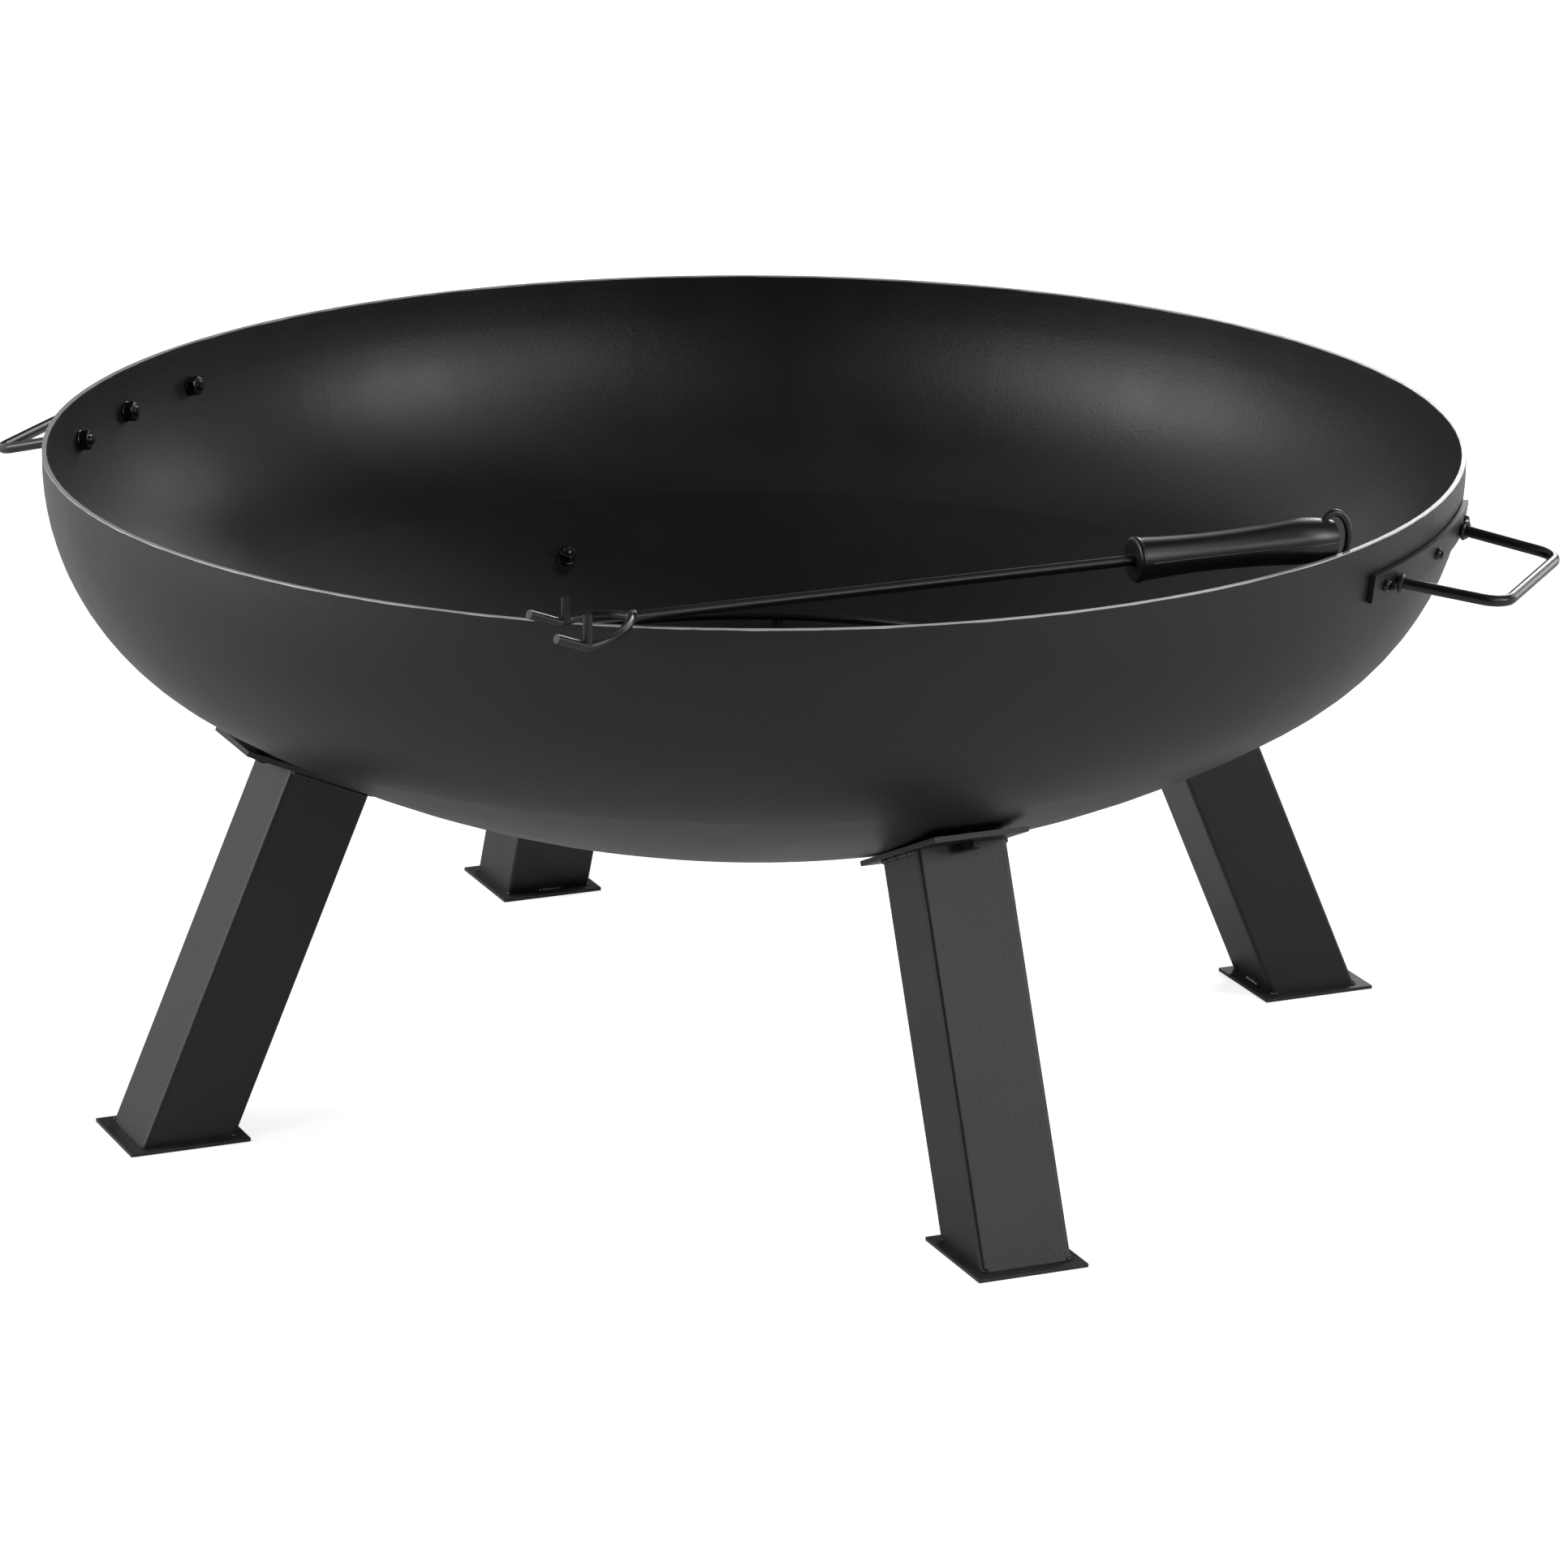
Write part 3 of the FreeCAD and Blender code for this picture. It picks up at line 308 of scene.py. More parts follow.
def blacked_steel():
    """Oil-blacked fasteners: dark, dense and a little oily, so the chamfers catch small glints."""
    material, tree, place, shader = new_material("Blacked steel, oiled")
    oil = grain(tree, place, 3 * MM, 2.0)
    colour = blend_colours(tree, spread(tree, oil, 0.4, 0.7, 0, 1),
                           linear(colours().blacking), linear(colours().dry_blacking))
    tree.links.new(colour, shader.inputs["Base Color"])
    tree.links.new(spread(tree, oil, 0.3, 0.7, 0.24, 0.32), shader.inputs["Roughness"])
    return material


def grip_moulding():
    """Polypropylene moulding with a spark-eroded satin skin: even, with a soft wide shine."""
    material, tree, place, shader = new_material("Polypropylene grip, spark-eroded satin")
    skin = grain(tree, place, 0.5 * MM, 2.0)
    bump = node(tree, "ShaderNodeBump", Strength=0.35, Distance=0.03 * MM, Height=skin)
    tree.links.new(bump.outputs["Normal"], shader.inputs["Normal"])
    handling = grain(tree, place, 14 * MM, 2.0)
    tree.links.new(spread(tree, handling, 0.3, 0.7, 0.30, 0.38), shader.inputs["Roughness"])
    colour = blend_colours(tree, spread(tree, handling, 0.3, 0.7, 0, 0.3),
                           linear(colours().grip), linear(colours().dust_and_sheen))
    tree.links.new(colour, shader.inputs["Base Color"])
    shader.inputs["IOR"].default_value = 1.49
    return material


def give(material, *names):
    """Puts a material on CAD nodes, whose shape stays."""
    for name in names:
        for slot in NODES[name].material_slots:
            slot.material = material


# ---------------------------------------------------------------- modelling

def clear_selection():
    """Leaves any edit mode and selects nothing."""
    if bpy.context.object and bpy.context.object.mode != "OBJECT":
        bpy.ops.object.mode_set(mode="OBJECT")
    bpy.ops.object.select_all(action="DESELECT")


def select(piece):
    """Makes a piece the only one selected, and the active one."""
    clear_selection()
    piece.select_set(True)
    bpy.context.view_layer.objects.active = piece


def centroid(spots):
    """The mean of some points."""
    return sum(spots, Vector()) / len(spots)


def off_axis(spot, origin, axis):
    """The square way from an axis through origin to a point."""
    arm = spot - origin
    return arm - arm.dot(axis) * axis


def axes_at(first, second, third, origin):
    """The matrix that turns X, Y and Z onto three directions and moves to a point."""
    return Matrix((
        (first.x, second.x, third.x, origin.x), (first.y, second.y, third.y, origin.y),
        (first.z, second.z, third.z, origin.z), (0, 0, 0, 1)))


def finish_piece(piece, name, material, body):
    """Puts a new piece's place into its mesh, names it, and lets it ride on a body."""
    select(piece)
    bpy.ops.object.transform_apply(location=True, rotation=True, scale=True)
    bpy.ops.object.shade_smooth_by_angle(angle=SHADE_ANGLE)
    piece.name = name
    piece.data.materials.clear()
    piece.data.materials.append(material)
    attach(piece, body)
    return piece


def join(pieces):
    """Joins pieces into the first of them."""
    clear_selection()
    for piece in pieces:
        piece.select_set(True)
    bpy.context.view_layer.objects.active = pieces[0]
    if len(pieces) > 1:
        bpy.ops.object.join()
    return bpy.context.view_layer.objects.active


# A bead's radius at its ripples, the chance in it, and its radius where it starts and stops.
RIPPLE_LOW, RIPPLE_HIGH = 0.8, 1.0
RIPPLE_CHANCE = 0.08
BEAD_END = 0.35


def bead(points, radius, closed=False, seed=1):
    """A rippled weld bead along points: a tube whose radius swells at each ripple."""
    pick = random.Random(seed)
    clear_selection()
    bpy.ops.object.add(type="CURVE", location=(0, 0, 0))
    piece = bpy.context.object
    curve = piece.data
    curve.dimensions = "3D"
    curve.bevel_depth = radius
    curve.bevel_resolution = 2
    curve.use_fill_caps = not closed
    spline = curve.splines.new("POLY")
    spline.points.add(len(points) - 1)
    for index, (spot, point) in enumerate(zip(points, spline.points)):
        point.co = (*spot, 1)
        chance = pick.uniform(1 - RIPPLE_CHANCE, 1 + RIPPLE_CHANCE)
        swell = (RIPPLE_HIGH if index % 2 else RIPPLE_LOW) * chance
        if not closed and index in (0, len(points) - 1):
            swell = BEAD_END
        point.radius = swell
    spline.use_cyclic_u = closed
    bpy.ops.object.convert(target="MESH")
    return bpy.context.object


def along(corners, step):
    """Points about a step apart along a line through these corners."""
    points = [corners[0]]
    for start, end in zip(corners, corners[1:]):
        count = max(1, round((end - start).length / step))
        points += [start.lerp(end, i / count) for i in range(1, count + 1)]
    return points


def middle_of(start, end, length):
    """A run of this length about the middle of a side."""
    half = (end - start).normalized() * length / 2
    return [start.lerp(end, 0.5) - half, start.lerp(end, 0.5) + half]


def ring(centre, axis, radius, count):
    """Points of a circle about an axis."""
    across = axis.orthogonal().normalized()
    other = axis.cross(across)
    turns = [2 * math.pi * i / count for i in range(count)]
    return [centre + radius * (math.cos(t) * across + math.sin(t) * other) for t in turns]


PARALLEL = 0.999


def islands(name):
    """The separate solids of a CAD node, each as (its centre, its flat direction, its corners)."""
    mesh = bmesh.new()
    mesh.from_mesh(NODES[name].data)
    bmesh.ops.remove_doubles(mesh, verts=mesh.verts, dist=SAME_POINT)
    mesh.verts.index_update()
    mesh.faces.index_update()
    left, found = set(mesh.verts), []
    while left:
        stack, faces, verts = [left.pop()], set(), []
        while stack:
            vert = stack.pop()
            verts.append(vert)
            faces.update(vert.link_faces)
            fresh = {e.other_vert(vert) for e in vert.link_edges} & left
            left -= fresh
            stack += fresh
        verts.sort(key=lambda v: v.index)
        face_list = sorted(faces, key=lambda f: f.index)
        best = max(face_list, key=lambda f: sum(
            g.calc_area() for g in face_list if abs(g.normal.dot(f.normal)) > PARALLEL))
        corners = [v.co.copy() for v in verts]
        found.append((centroid(corners), best.normal.normalized(), corners))
    mesh.free()
    return sorted(found, key=lambda part: (round(part[0].x, 5), round(part[0].y, 5), round(part[0].z, 5)))


def in_order(piece):
    """Puts a mesh's edges and faces in the order of their corners, which extruding leaves to chance."""
    mesh = bmesh.new()
    mesh.from_mesh(piece.data)
    for parts in (mesh.edges, mesh.faces):
        ordered = sorted(parts, key=lambda part: sorted(v.index for v in part.verts))
        place = {part: rank for rank, part in enumerate(ordered)}
        parts.sort(key=place.get)
    mesh.to_mesh(piece.data)
    mesh.free()
    return piece


def turned(profile, count):
    """A solid of revolution about Z, extruded ring by ring through (radius, height) steps."""
    clear_selection()
    radius, height = profile[0]
    bpy.ops.mesh.primitive_circle_add(vertices=count, radius=radius, fill_type="NGON",
                                      location=(0, 0, height))
    bpy.ops.object.transform_apply(location=True)
    bpy.ops.object.mode_set(mode="EDIT")
    bpy.ops.mesh.select_all(action="SELECT")
    for new_radius, new_height in profile[1:]:
        bpy.ops.mesh.extrude_region_move(TRANSFORM_OT_translate={"value": (0, 0, new_height - height)})
        scale = new_radius / radius
        bpy.ops.transform.resize(value=(scale, scale, 1), center_override=(0, 0, new_height))
        radius, height = new_radius, new_height
    bpy.ops.mesh.select_all(action="SELECT")
    bpy.ops.mesh.normals_make_consistent(inside=False)
    bpy.ops.object.mode_set(mode="OBJECT")
    return in_order(bpy.context.object)


def boolean(piece, tool, operation):
    """Cuts or trims a piece with a tool, which is then removed."""
    select(piece)
    change = piece.modifiers.new("cut", "BOOLEAN")
    change.operation, change.object, change.solver = operation, tool, "EXACT"
    bpy.ops.object.modifier_apply(modifier=change.name)
    bpy.data.objects.remove(tool)
    return piece


def hexagon(width, height, low):
    """A hexagonal prism standing on a level, one corner on +X."""
    clear_selection()
    bpy.ops.mesh.primitive_cylinder_add(vertices=6, radius=width / math.sqrt(3), depth=height,
                                        location=(0, 0, low + height / 2), rotation=(0, 0, math.pi / 6))
    bpy.ops.object.transform_apply(location=True, rotation=True)
    return bpy.context.object


# A nut's turned rim against its corners, its flat face against its flats, and its chamfer.
NUT_RIM, NUT_FACE = 1.02, 0.96
NUT_CHAMFER = math.radians(30)


def chamfered_hexagon(width, height, both):
    """A nut or head: a hexagon whose corners are turned off, at one end or both."""
    rim = width / math.sqrt(3) * NUT_RIM
    face = width / 2 * NUT_FACE
    slope = (rim - face) * math.tan(NUT_CHAMFER)
    bottom = [(face, 0), (rim, slope)] if both else [(rim, 0)]
    return boolean(hexagon(width, height, 0),
                   turned([*bottom, (rim, height - slope), (face, height)], 36), "INTERSECT")


# Depth of a coarse metric thread, as a share of its pitch, and a bolt's end against the root.
THREAD_DEPTH = 0.61
THREAD_END = 0.9


def threaded_rod(radius, length):
    """A bolt's thread from level 0 up: crests and roots at the thread's pitch, with a tapered end."""
    pitch = sizes().thread_pitch
    root = radius - THREAD_DEPTH * pitch
    profile, level = [(root, 0)], 0
    while level + pitch < length:
        profile += [(radius, level + pitch / 2), (root, level + pitch)]
        level += pitch
    profile.append((root * THREAD_END, length))
    return turned(profile, 20)


def set_on(piece, centre, axis, corner=None):
    """Copies a piece modelled about Z onto an axis, with its own mesh."""
    select(piece)
    bpy.ops.object.duplicate()
    copy = bpy.context.object
    side = (corner - centre) if corner else axis.orthogonal()
    side = (side - side.dot(axis) * axis).normalized()
    copy.matrix_world = axes_at(side, axis.cross(side), axis, centre)
    bpy.ops.object.transform_apply(location=True, rotation=True, scale=True)
    return copy


def reach(part, axis, origin):
    """How far a solid reaches along an axis from a point: (nearest, farthest)."""
    along_axis = [(c - origin).dot(axis) for c in part[2]]
    return min(along_axis), max(along_axis)


# ---------------------------------------------------------------- pieces

class FIREPIT_OT_bowl(bpy.types.Operator):
    """Paint the bowl, with bright steel along its rim"""

    bl_idname = "firepit.bowl"
    bl_label = "Bowl"

    def execute(self, context):
        give(bowl_paint(), "bowl")
        return {"FINISHED"}


class FIREPIT_OT_legs(bpy.types.Operator):
    """Paint the legs and plates and weld them together"""

    bl_idname = "firepit.legs"
    bl_label = "Legs"

    # The foot's beads lie this far above the plate's level, and the top's this far below theirs.
    foot_lift = 0.6 * MM
    top_drop = 0.8 * MM

    def execute(self, context):
        give(stove_paint()[0], *(f"{part}_{leg}" for leg in LEGS for part in ("leg", "top_plate")))
        # The foot plates carry painted sheen as well as dust.
        give(foot_paint_with_sheen(), *(f"foot_plate_{leg}" for leg in LEGS))
        weld = weld_paint()
        for number, leg in enumerate(LEGS):
            self.foot_welds(leg, weld, 20 * number)
            self.top_welds(leg, weld, 20 * number + 10)
        return {"FINISHED"}

    @staticmethod
    def outline(leg, end):
        """The corners of a leg's end, outer two first and inner two last, in order round it."""
        foot_low, foot_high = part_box(f"foot_plate_{leg}")
        centre = (foot_low + foot_high) / 2
        outward = Vector((centre.x, centre.y, 0)).normalized()
        across = Vector((-outward.y, outward.x, 0))
        return [max(end, key=lambda s: out * s.dot(outward) + side * s.dot(across)).copy()
                for out, side in ((1, 1), (1, -1), (-1, -1), (-1, 1))]

    def foot_welds(self, leg, material, seed):
        """A small tack on each corner of the foot, and a stitch on its inner side."""
        size = sizes()
        spots = [v.co for v in NODES[f"leg_{leg}"].data.vertices]
        level = min(s.z for s in spots)
        corners = self.outline(leg, [s for s in spots if s.z < level + TOUCH])
        corners = [c + Vector((0, 0, self.foot_lift)) for c in corners]
        runs = []
        for index, corner in enumerate(corners):
            before, after = corners[index - 1], corners[(index + 1) % 4]
            back = corner + (before - corner).normalized() * size.tack_length
            on = corner + (after - corner).normalized() * size.tack_length
            runs.append(([back, corner, on], size.tack_radius))
        runs.append((middle_of(corners[2], corners[3], size.stitch_length), size.weld_radius))
        self.weld(f"foot_welds_{leg}", runs, material, seed)

    def top_welds(self, leg, material, seed):
        """Rough beads across the leg's sides under the top plate, and a stitch behind."""
        size = sizes()
        plate = max(NODES[f"top_plate_{leg}"].data.polygons, key=lambda p: p.area)
        down = plate.normal if plate.normal.z < 0 else -plate.normal
        level = max(v.co.dot(down) for v in NODES[f"top_plate_{leg}"].data.vertices)
        spots = [v.co for v in NODES[f"leg_{leg}"].data.vertices]
        corners = self.outline(leg, [s for s in spots if abs(s.dot(down) - level) < TOUCH])
        corners = [c + down * self.top_drop for c in corners]
        runs = [
            ([corners[1], corners[2]], size.weld_radius),
            ([corners[3], corners[0]], size.weld_radius),
            (middle_of(corners[2], corners[3], size.stitch_length), size.weld_radius),
        ]
        self.weld(f"top_welds_{leg}", runs, material, seed)

    @staticmethod
    def weld(name, runs, material, seed):
        """One piece of all the beads at a leg's end."""
        step = sizes().weld_pitch / 2
        beads = [bead(along(run, step), radius, seed=seed + index)
                 for index, (run, radius) in enumerate(runs)]
        finish_piece(join(beads), name, material, "base")


class FIREPIT_OT_handles(bpy.types.Operator):
    """Paint the carrying handles and weld their rods to the straps"""

    bl_idname = "firepit.handles"
    bl_label = "Handles"

    # A rod's root is read off its points this deep inside the strap's face, and its direction off
    # those this far outside; the strap is read this far to each side. The bead clears the rod a little.
    root_depth = 12 * MM
    straight = (2 * MM, 40 * MM)
    strap_beside = 14 * MM
    rod_gap = 0.3 * MM
    bead_share = 0.8

    def execute(self, context):
        give(rod_paint(), *(f"handle_rod_{side}" for side in SIDES))
        give(stove_paint("Stove paint on strap", 1.6 * MM, 0.06 * MM)[0],
             *(f"handle_strap_{side}" for side in SIDES))
        weld = weld_paint()
        for number, side in enumerate(SIDES):
            thick = sizes().weld_radius * self.bead_share
            beads = [bead(ring(centre, axis, radius, 16), thick, True, 40 + number)
                     for centre, axis, radius in self.roots(side)]
            finish_piece(join(beads), f"handle_welds_{side}", weld, "base")
        return {"FINISHED"}

    def roots(self, side):
        """Where a rod's two ends leave the strap: (centre, direction, ring radius)."""
        sign = 1 if side == "right" else -1
        strap_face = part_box(f"handle_strap_{side}")[1 if sign > 0 else 0].x
        strap = [v.co for v in NODES[f"handle_strap_{side}"].data.vertices]
        rod = [v.co for v in NODES[f"handle_rod_{side}"].data.vertices]
        first, last = self.straight
        found = []
        for half in (1, -1):
            arm = [s for s in rod if s.y * half > 0]
            near = [s for s in arm if 0 < (strap_face - s.x) * sign < self.root_depth]
            start = centroid(near)
            end = centroid([s for s in arm if first < (s.x - strap_face) * sign < last])
            axis = (end - start).normalized()
            radius = max(off_axis(s, start, axis).length for s in near)
            wall = max((s.x * sign for s in strap if abs(s.y - start.y) < self.strap_beside),
                       default=strap_face * sign)
            centre = start + axis * ((wall * sign - start.x) / axis.x)
            found.append((centre, axis, radius + self.rod_gap))
        return found


class FIREPIT_OT_fasteners(bpy.types.Operator):
    """Model the bolts, washers and nuts of the legs and handles"""

    bl_idname = "firepit.fasteners"
    bl_label = "Fasteners"

    bolt_radius = 3 * MM
    hex_head_height = 4 * MM
    button_height = 3.3 * MM
    button_flat = 12
    button_steps = 7
    socket_width = 4 * MM
    socket_depth = 2 * MM
    cut_spare = 1 * MM
    thread_overlap = 0.2 * MM
    head_layer = 1 * MM
    washer_round = 0.25

    def execute(self, context):
        steel = blacked_steel()
        for group, socket_head in (("leg", False), ("handle", True)):
            self.nuts(group, steel)
            self.bolts(group, steel, socket_head)
            self.washers(group, steel)
        return {"FINISHED"}

    @staticmethod
    def furthest(corners, origin, axis):
        """The corner that lies furthest from an axis."""
        return max(corners, key=lambda c: off_axis(c, origin, axis).length)

    @staticmethod
    def replace(copies, group, part, finish, steel):
        """Lets modelled fasteners stand for a group's plain ones."""
        piece = finish_piece(join(copies), f"{group}_{part}_{finish}", steel, "base")
        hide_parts(f"{group}_{part}")

    def nuts(self, group, steel):
        """Chamfered nuts, each turned as its plain one."""
        parts, copies = islands(f"{group}_nuts"), []
        low, high = reach(parts[0], parts[0][1], parts[0][0])
        nut = chamfered_hexagon(sizes().hex_width, high - low, True)
        for part in parts:
            middle, axis, corners = part
            near, _ = reach(part, axis, middle)
            copies.append(set_on(nut, middle + near * axis, axis, self.furthest(corners, middle, axis)))
        bpy.data.objects.remove(nut)
        self.replace(copies, group, "nuts", "chamfered", steel)

    def bolts(self, group, steel, socket_head):
        """Threaded bolts, each on its nut's axis; bolts of one length share a template."""
        parts, copies = islands(f"{group}_bolts"), []
        nuts = islands(f"{group}_nuts")
        made = {}
        for part in parts:
            middle, axis, corners = part
            line = min(nuts, key=lambda n: (n[0] - middle).length)[0]
            if (line - middle).dot(axis) < 0:
                axis = -axis
            near, far = reach(part, axis, line)
            head = [c for c in corners if (c - line).dot(axis) < near + self.head_layer]
            corner = self.furthest(head, line, axis)
            key = round((far - near) / MM, 2)
            if key not in made:
                made[key] = self.bolt(far - near, off_axis(corner, line, axis).length, socket_head)
            copies.append(set_on(made[key], line + near * axis, axis, corner))
        for template in made.values():
            bpy.data.objects.remove(template)
        self.replace(copies, group, "bolts", "threaded", steel)

    def bolt(self, length, head_radius, socket_head):
        """A bolt about Z, its head's top at level 0 and its thread's end at its length."""
        if socket_head:
            head_height = self.button_height
            head = self.button(head_radius)
        else:
            head_height = self.hex_head_height
            head = chamfered_hexagon(head_radius * math.sqrt(3), head_height, False)
            head.matrix_world = Matrix.Translation((0, 0, head_height)) @ Matrix.Rotation(math.pi, 4, "X")
            select(head)
            bpy.ops.object.transform_apply(location=True, rotation=True)
        thread = threaded_rod(self.bolt_radius, length - head_height + self.thread_overlap)
        thread.location.z = head_height - self.thread_overlap
        return join([head, thread])

    def button(self, head_radius):
        """A domed head with a hexagon socket, its top at level 0."""
        dome = []
        for step in range(self.button_steps + 1):
            turn = math.radians(self.button_flat + (90 - self.button_flat) * step / self.button_steps)
            dome.append((head_radius * math.sin(turn), self.button_height * (1 - math.cos(turn))))
        head = turned([*dome, (head_radius, self.button_height)], 40)
        socket = hexagon(self.socket_width, self.socket_depth + self.cut_spare, -self.cut_spare)
        return boolean(head, socket, "DIFFERENCE")

    def washers(self, group, steel):
        """Washers with rounded edges."""
        parts, copies = islands(f"{group}_washers"), []
        middle, axis, corners = parts[0]
        low, high = reach(parts[0], axis, middle)
        offs = [off_axis(c, middle, axis).length for c in corners]
        outer, inner, thick = max(offs), min(offs), high - low
        edge = self.washer_round * thick
        washer = turned([(outer - edge, 0), (outer, edge), (outer, thick - edge), (outer - edge, thick)], 40)
        hole = turned([(inner, -thick), (inner, 2 * thick)], 40)
        washer = boolean(washer, hole, "DIFFERENCE")
        for part in parts:
            near, _ = reach(part, part[1], part[0])
            copies.append(set_on(washer, part[0] + near * part[1], part[1]))
        bpy.data.objects.remove(washer)
        self.replace(copies, group, "washers", "rounded", steel)


class FIREPIT_OT_grate(bpy.types.Operator):
    """Paint the grate and weld its bars to the ring"""

    bl_idname = "firepit.grate"
    bl_label = "Grate"

    # Each node's bead at its ends, as a share of a full bead, and where the bead's ring lies.
    bead_shares = {"grate_bars": 0.525, "grate_cross_rod": 0.56, "grate_side_rods": 0.56}
    ring_inset = 1.5 * MM
    ring_radius = 2.4 * MM

    def execute(self, context):
        give(rod_paint(), "grate_ring", *self.bead_shares)
        weld, beads = weld_paint(), []
        for name, share in self.bead_shares.items():
            for middle, _, corners in islands(name):
                far = max(corners, key=lambda c: (c - middle).length)
                axis = Vector((far.x - middle.x, far.y - middle.y, 0)).normalized()
                ends = [(c - middle).dot(axis) for c in corners]
                for end in (min(ends), max(ends)):
                    inward = -axis if end > 0 else axis
                    centre = middle + axis * end + inward * self.ring_inset
                    beads.append(bead(ring(centre, axis, self.ring_radius, 12),
                                      sizes().weld_radius * share, True, 60 + len(beads)))
        finish_piece(join(beads), "grate_welds", weld, "grate")
        return {"FINISHED"}


class FIREPIT_OT_lifter(bpy.types.Operator):
    """Finish the lifting tool: painted fork and rod, moulded grip with its parting line"""

    bl_idname = "firepit.lifter"
    bl_label = "Lifting tool"

    # The lip's outline in millimetres: how far inside the collar's radius, and how far along the grip.
    lip_outline = ((1.6, -0.7), (0.5, -0.5), (0.0, 0.0), (-0.35, 0.7), (-0.35, 1.5), (0.0, 2.2), (0.6, 2.4))
    # The parting line keeps clear of the tang's bore and stops short of the tail, as shares.
    bore_margin = 1.6
    tail_share = 0.95
    # The fork's weld: the radius of each ring of bead, from the fork's side to the rod's.
    weld_rings = (1.4 * MM, 2.2 * MM, 2.3 * MM)

    def execute(self, context):
        give(rod_paint(), "lifter_rod")
        # The fork's paint carries painted sheen in its rubbed patches.
        give(rubbed_and_sheen_rod_paint(), "lifter_fork", "lifter_post_far", "lifter_post_near")
        moulding = grip_moulding()
        give(moulding, "lifter_grip")
        self.collar_lip(moulding)
        self.parting_line(moulding)
        self.joint_weld()
        return {"FINISHED"}

    @staticmethod
    def rod_direction():
        """The rod's level direction, from the fork to the grip."""
        low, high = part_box("lifter_rod")
        return Vector((high.x - low.x, high.y - low.y, 0)).normalized()

    def grip_line(self):
        """The middle of the grip's front face, and the direction from there along the grip."""
        flat = self.rod_direction()
        rod = [v.co for v in NODES["lifter_rod"].data.vertices]
        grip = [v.co for v in NODES["lifter_grip"].data.vertices]
        last = max(s.dot(flat) for s in rod)
        first = min(s.dot(flat) for s in grip)
        tang = centroid([s for s in rod if s.dot(flat) > last - 2 * TOUCH])
        face = centroid([s for s in grip if s.dot(flat) < first + 2 * TOUCH])
        return face, (tang - face).normalized()

    def collar_lip(self, moulding):
        """The rounded lip moulded round the grip's collar."""
        centre, axis = self.grip_line()
        face = [v.co for v in NODES["lifter_grip"].data.vertices
                if (v.co - centre).dot(axis) < TOUCH]
        collar = max((s - centre).length for s in face)
        lip = turned([(collar - inside * MM, height * MM) for inside, height in self.lip_outline], 48)
        copy = set_on(lip, centre, axis)
        bpy.data.objects.remove(lip)
        finish_piece(copy, "grip_collar_lip", moulding, "lifter")

    def parting_line(self, moulding):
        """The line left by the mould's two halves, where a plane along the grip cuts its skin."""
        clear_selection()
        front, axis = self.grip_line()
        source = NODES["lifter_grip"]
        copy = bpy.data.objects.new("parting", source.data.copy())
        bpy.context.scene.collection.objects.link(copy)
        select(copy)
        normal = axis.cross(Vector((0, 0, 1))).cross(axis).normalized()
        bpy.ops.object.mode_set(mode="EDIT")
        bpy.ops.mesh.select_all(action="SELECT")
        bpy.ops.mesh.remove_doubles(threshold=SAME_POINT)
        bpy.ops.mesh.bisect(plane_co=front, plane_no=normal, clear_inner=True, clear_outer=True)
        bpy.ops.mesh.select_all(action="DESELECT")
        bpy.ops.object.mode_set(mode="OBJECT")
        rod_low, rod_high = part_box("lifter_rod")
        bore = self.bore_margin * (rod_high.z - rod_low.z) / 2
        tail = self.tail_share * max((v.co - front).dot(axis) for v in source.data.vertices)
        for vertex in copy.data.vertices:
            level = (vertex.co - front).dot(axis)
            inside = off_axis(vertex.co, front, axis).length < bore
            vertex.select = inside or level > tail or level < TOUCH
        bpy.ops.object.mode_set(mode="EDIT")
        bpy.ops.mesh.delete(type="VERT")
        bpy.ops.object.mode_set(mode="OBJECT")
        bpy.ops.object.convert(target="CURVE")
        curve = bpy.context.object.data
        curve.bevel_depth = sizes().parting_rib
        curve.bevel_resolution = 1
        bpy.ops.object.convert(target="MESH")
        finish_piece(bpy.context.object, "grip_parting_line", moulding, "lifter")

    def joint_weld(self):
        """The weld where the rod meets the fork."""
        spots = [v.co for v in NODES["lifter_rod"].data.vertices]
        axis = self.rod_direction()
        first = min(s.dot(axis) for s in spots)
        centre = centroid([s for s in spots if s.dot(axis) < first + 1.0 * MM])
        thick = sizes().tack_radius
        beads = [bead(ring(centre + axis * step * thick, axis, radius, 10), thick, True, 90 + step)
                 for step, radius in enumerate(self.weld_rings, -1)]
        finish_piece(join(beads), "fork_weld", weld_paint(), "lifter")


# ---------------------------------------------------------------- stage

# Soft lights round the bowl, by elevation in degrees: the discs' width in metres, then each disc's
# azimuth in degrees and power in watts.
LIGHTS = {
    4: (1.2, ((300, 15), (150, 15), (270, 10), (240, 5), (120, 5))),
    20: (1.4, ((300, 57), (90, 44), (180, 43), (330, 24), (60, 18), (150, 15), (240, 10), (270, 5))),
    40: (1.6, ((90, 12), (270, 7), (180, 7), (315, 6), (225, 3), (45, 2))),
    65: (1.8, ((270, 4), (90, 3))),
    90: (1.8, ((0, 2),)),
}
LIGHT_DISTANCE = 4.0
LIGHT_AIM = Vector((0, 0, 0.3))
FLOOR_SIZE = 60
FLOOR_GAP = 0.2 * MM
FLOOR_GLOW = 0.75
ROOM_GLOW = 0.01
SENSOR_WIDTH = 36
FAR_CLIP = 100


def direction(azimuth, elevation):
    """From the bowl towards this azimuth and elevation, in radians."""
    level = math.cos(elevation)
    return Vector((math.sin(azimuth) * level, -math.cos(azimuth) * level, math.sin(elevation)))


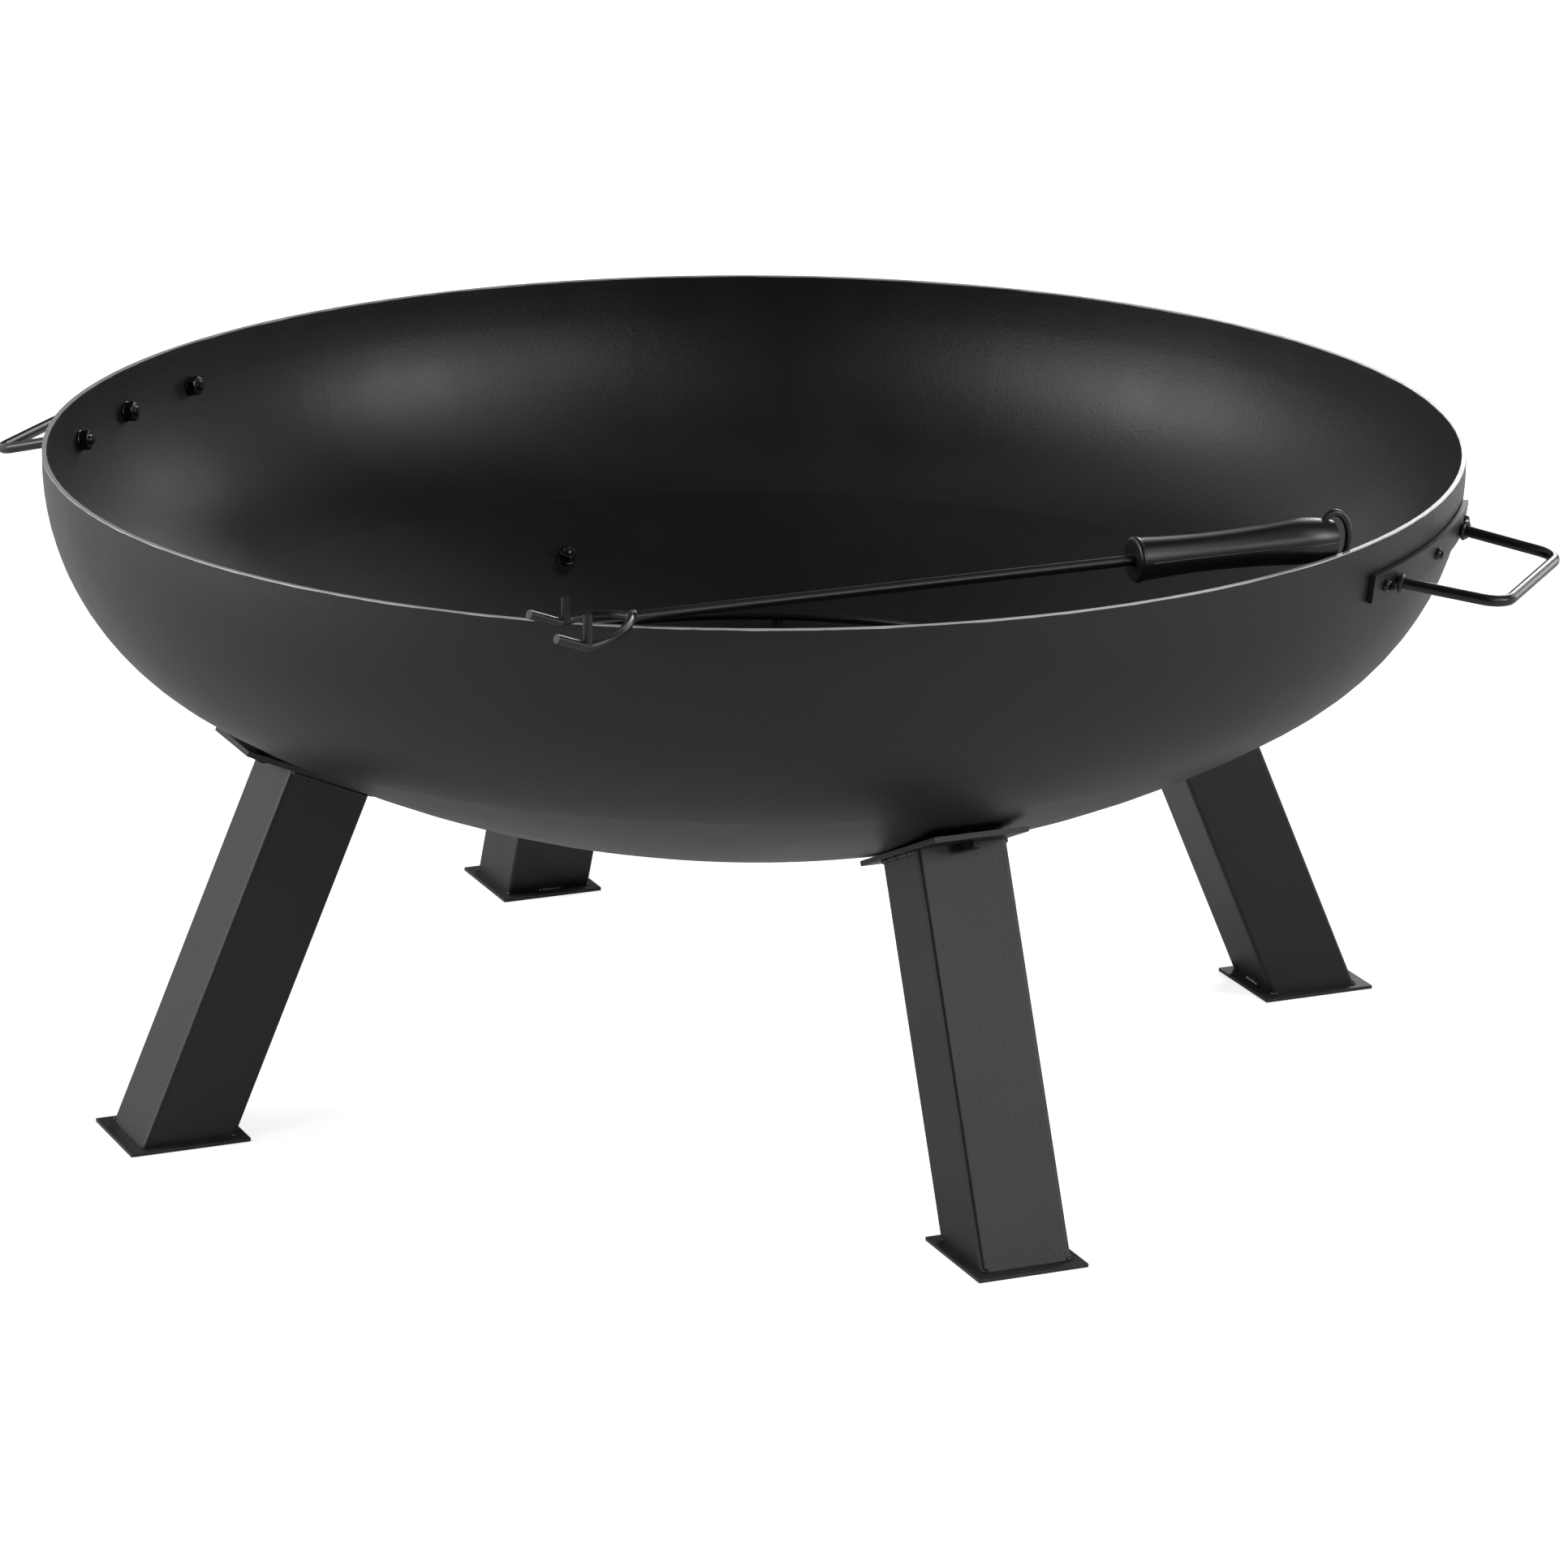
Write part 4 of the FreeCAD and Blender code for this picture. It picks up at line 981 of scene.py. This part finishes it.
class FIREPIT_OT_stage(bpy.types.Operator):
    """Set the floor, the lights, the surroundings and the camera"""

    bl_idname = "firepit.stage"
    bl_label = "Stage"

    def execute(self, context):
        self.floor()
        for elevation, (width, discs) in LIGHTS.items():
            for azimuth, power in discs:
                self.light(math.radians(azimuth), math.radians(elevation), width, power)
        self.surroundings(context.scene)
        self.camera(context.scene)
        context.scene.view_settings.view_transform = "Standard"
        return {"FINISHED"}

    @staticmethod
    def floor():
        """A pale matt floor, which the camera alone sees as a little brighter."""
        clear_selection()
        bpy.ops.mesh.primitive_plane_add(size=FLOOR_SIZE, location=(0, 0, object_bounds()[0].z - FLOOR_GAP))
        plane = bpy.context.object
        plane.name = "floor"
        material, tree, _, shader = new_material("Painted studio floor, matt")
        shader.inputs["Base Color"].default_value = linear(colours().floor)
        shader.inputs["Roughness"].default_value = 1
        shader.inputs["Specular IOR Level"].default_value = 0
        shader.inputs["Emission Color"].default_value = (1, 1, 1, 1)
        seen = node(tree, "ShaderNodeLightPath").outputs["Is Camera Ray"]
        tree.links.new(maths(tree, "MULTIPLY", seen, FLOOR_GLOW), shader.inputs["Emission Strength"])
        plane.data.materials.append(material)
        plane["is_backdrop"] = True

    @staticmethod
    def light(azimuth, elevation, width, power):
        """One soft disc of light that faces the bowl."""
        back = direction(azimuth, elevation)
        bpy.ops.object.light_add(type="AREA", location=LIGHT_AIM + back * LIGHT_DISTANCE)
        lamp = bpy.context.object
        lamp.name = "softbox"
        lamp.rotation_mode = "QUATERNION"
        lamp.rotation_quaternion = (-back).to_track_quat("-Z", "Y")
        lamp.data.shape = "DISK"
        lamp.data.size = width
        lamp.data.energy = power
        lamp.visible_camera = False

    @staticmethod
    def surroundings(scene):
        """White behind the object for the camera, and almost dark for the light."""
        world = bpy.data.worlds.new("studio")
        world.use_nodes = True
        scene.world = world
        tree = world.node_tree
        tree.nodes.clear()
        seen = node(tree, "ShaderNodeLightPath").outputs["Is Camera Ray"]
        strength = spread(tree, seen, 0, 1, ROOM_GLOW, 1.0)
        back = node(tree, "ShaderNodeBackground", Color=(1, 1, 1, 1), Strength=strength)
        node(tree, "ShaderNodeOutputWorld", Surface=back.outputs[0])

    @staticmethod
    def camera(scene):
        """The camera, turned, tilted and framed as the studio's settings say."""
        studio = scene.fire_pit_studio
        back = direction(studio.azimuth, studio.elevation)
        level_side = (-back).cross(Vector((0, 0, 1))).normalized()
        level_up = level_side.cross(-back)
        across, over = math.cos(studio.roll), math.sin(studio.roll)
        side = across * level_side + over * level_up
        up = across * level_up - over * level_side
        bpy.ops.object.camera_add()
        camera = bpy.context.object
        camera.data.sensor_width = SENSOR_WIDTH
        camera.data.lens = studio.lens
        camera.data.clip_end = FAR_CLIP
        spot = back * studio.distance + side * studio.look_right + up * studio.look_up
        camera.matrix_world = axes_at(side, up, back, spot)
        scene.camera = camera


# ---------------------------------------------------------------- add-on

OPERATORS = (
    FIREPIT_OT_bowl, FIREPIT_OT_legs, FIREPIT_OT_handles, FIREPIT_OT_fasteners,
    FIREPIT_OT_grate, FIREPIT_OT_lifter, FIREPIT_OT_stage,
)


class FIREPIT_PT_panel(bpy.types.Panel):
    """Sizes, colours and the pieces to build"""

    bl_idname = "FIREPIT_PT_panel"
    bl_label = "Fire Pit"
    bl_space_type = "VIEW_3D"
    bl_region_type = "UI"
    bl_category = "Fire Pit"

    def draw(self, context):
        for group in (context.scene.fire_pit_sizes, context.scene.fire_pit_colours,
                      context.scene.fire_pit_studio):
            box = self.layout.box()
            for name in group.bl_rna.properties.keys():
                if name not in ("rna_type", "name"):
                    box.prop(group, name)
        for operator in OPERATORS:
            self.layout.operator(operator.bl_idname)


CLASSES = (FirePitSizes, FirePitColours, FirePitStudio, *OPERATORS, FIREPIT_PT_panel)


def register():
    for each in CLASSES:
        bpy.utils.register_class(each)
    bpy.types.Scene.fire_pit_sizes = bpy.props.PointerProperty(type=FirePitSizes)
    bpy.types.Scene.fire_pit_colours = bpy.props.PointerProperty(type=FirePitColours)
    bpy.types.Scene.fire_pit_studio = bpy.props.PointerProperty(type=FirePitStudio)


def unregister():
    del bpy.types.Scene.fire_pit_studio
    del bpy.types.Scene.fire_pit_colours
    del bpy.types.Scene.fire_pit_sizes
    for each in reversed(CLASSES):
        bpy.utils.unregister_class(each)


def main():
    register()
    bpy.ops.firepit.bowl()
    bpy.ops.firepit.legs()
    bpy.ops.firepit.handles()
    bpy.ops.firepit.fasteners()
    bpy.ops.firepit.grate()
    bpy.ops.firepit.lifter()
    bpy.ops.firepit.stage()


if __name__ == "__main__":
    main()
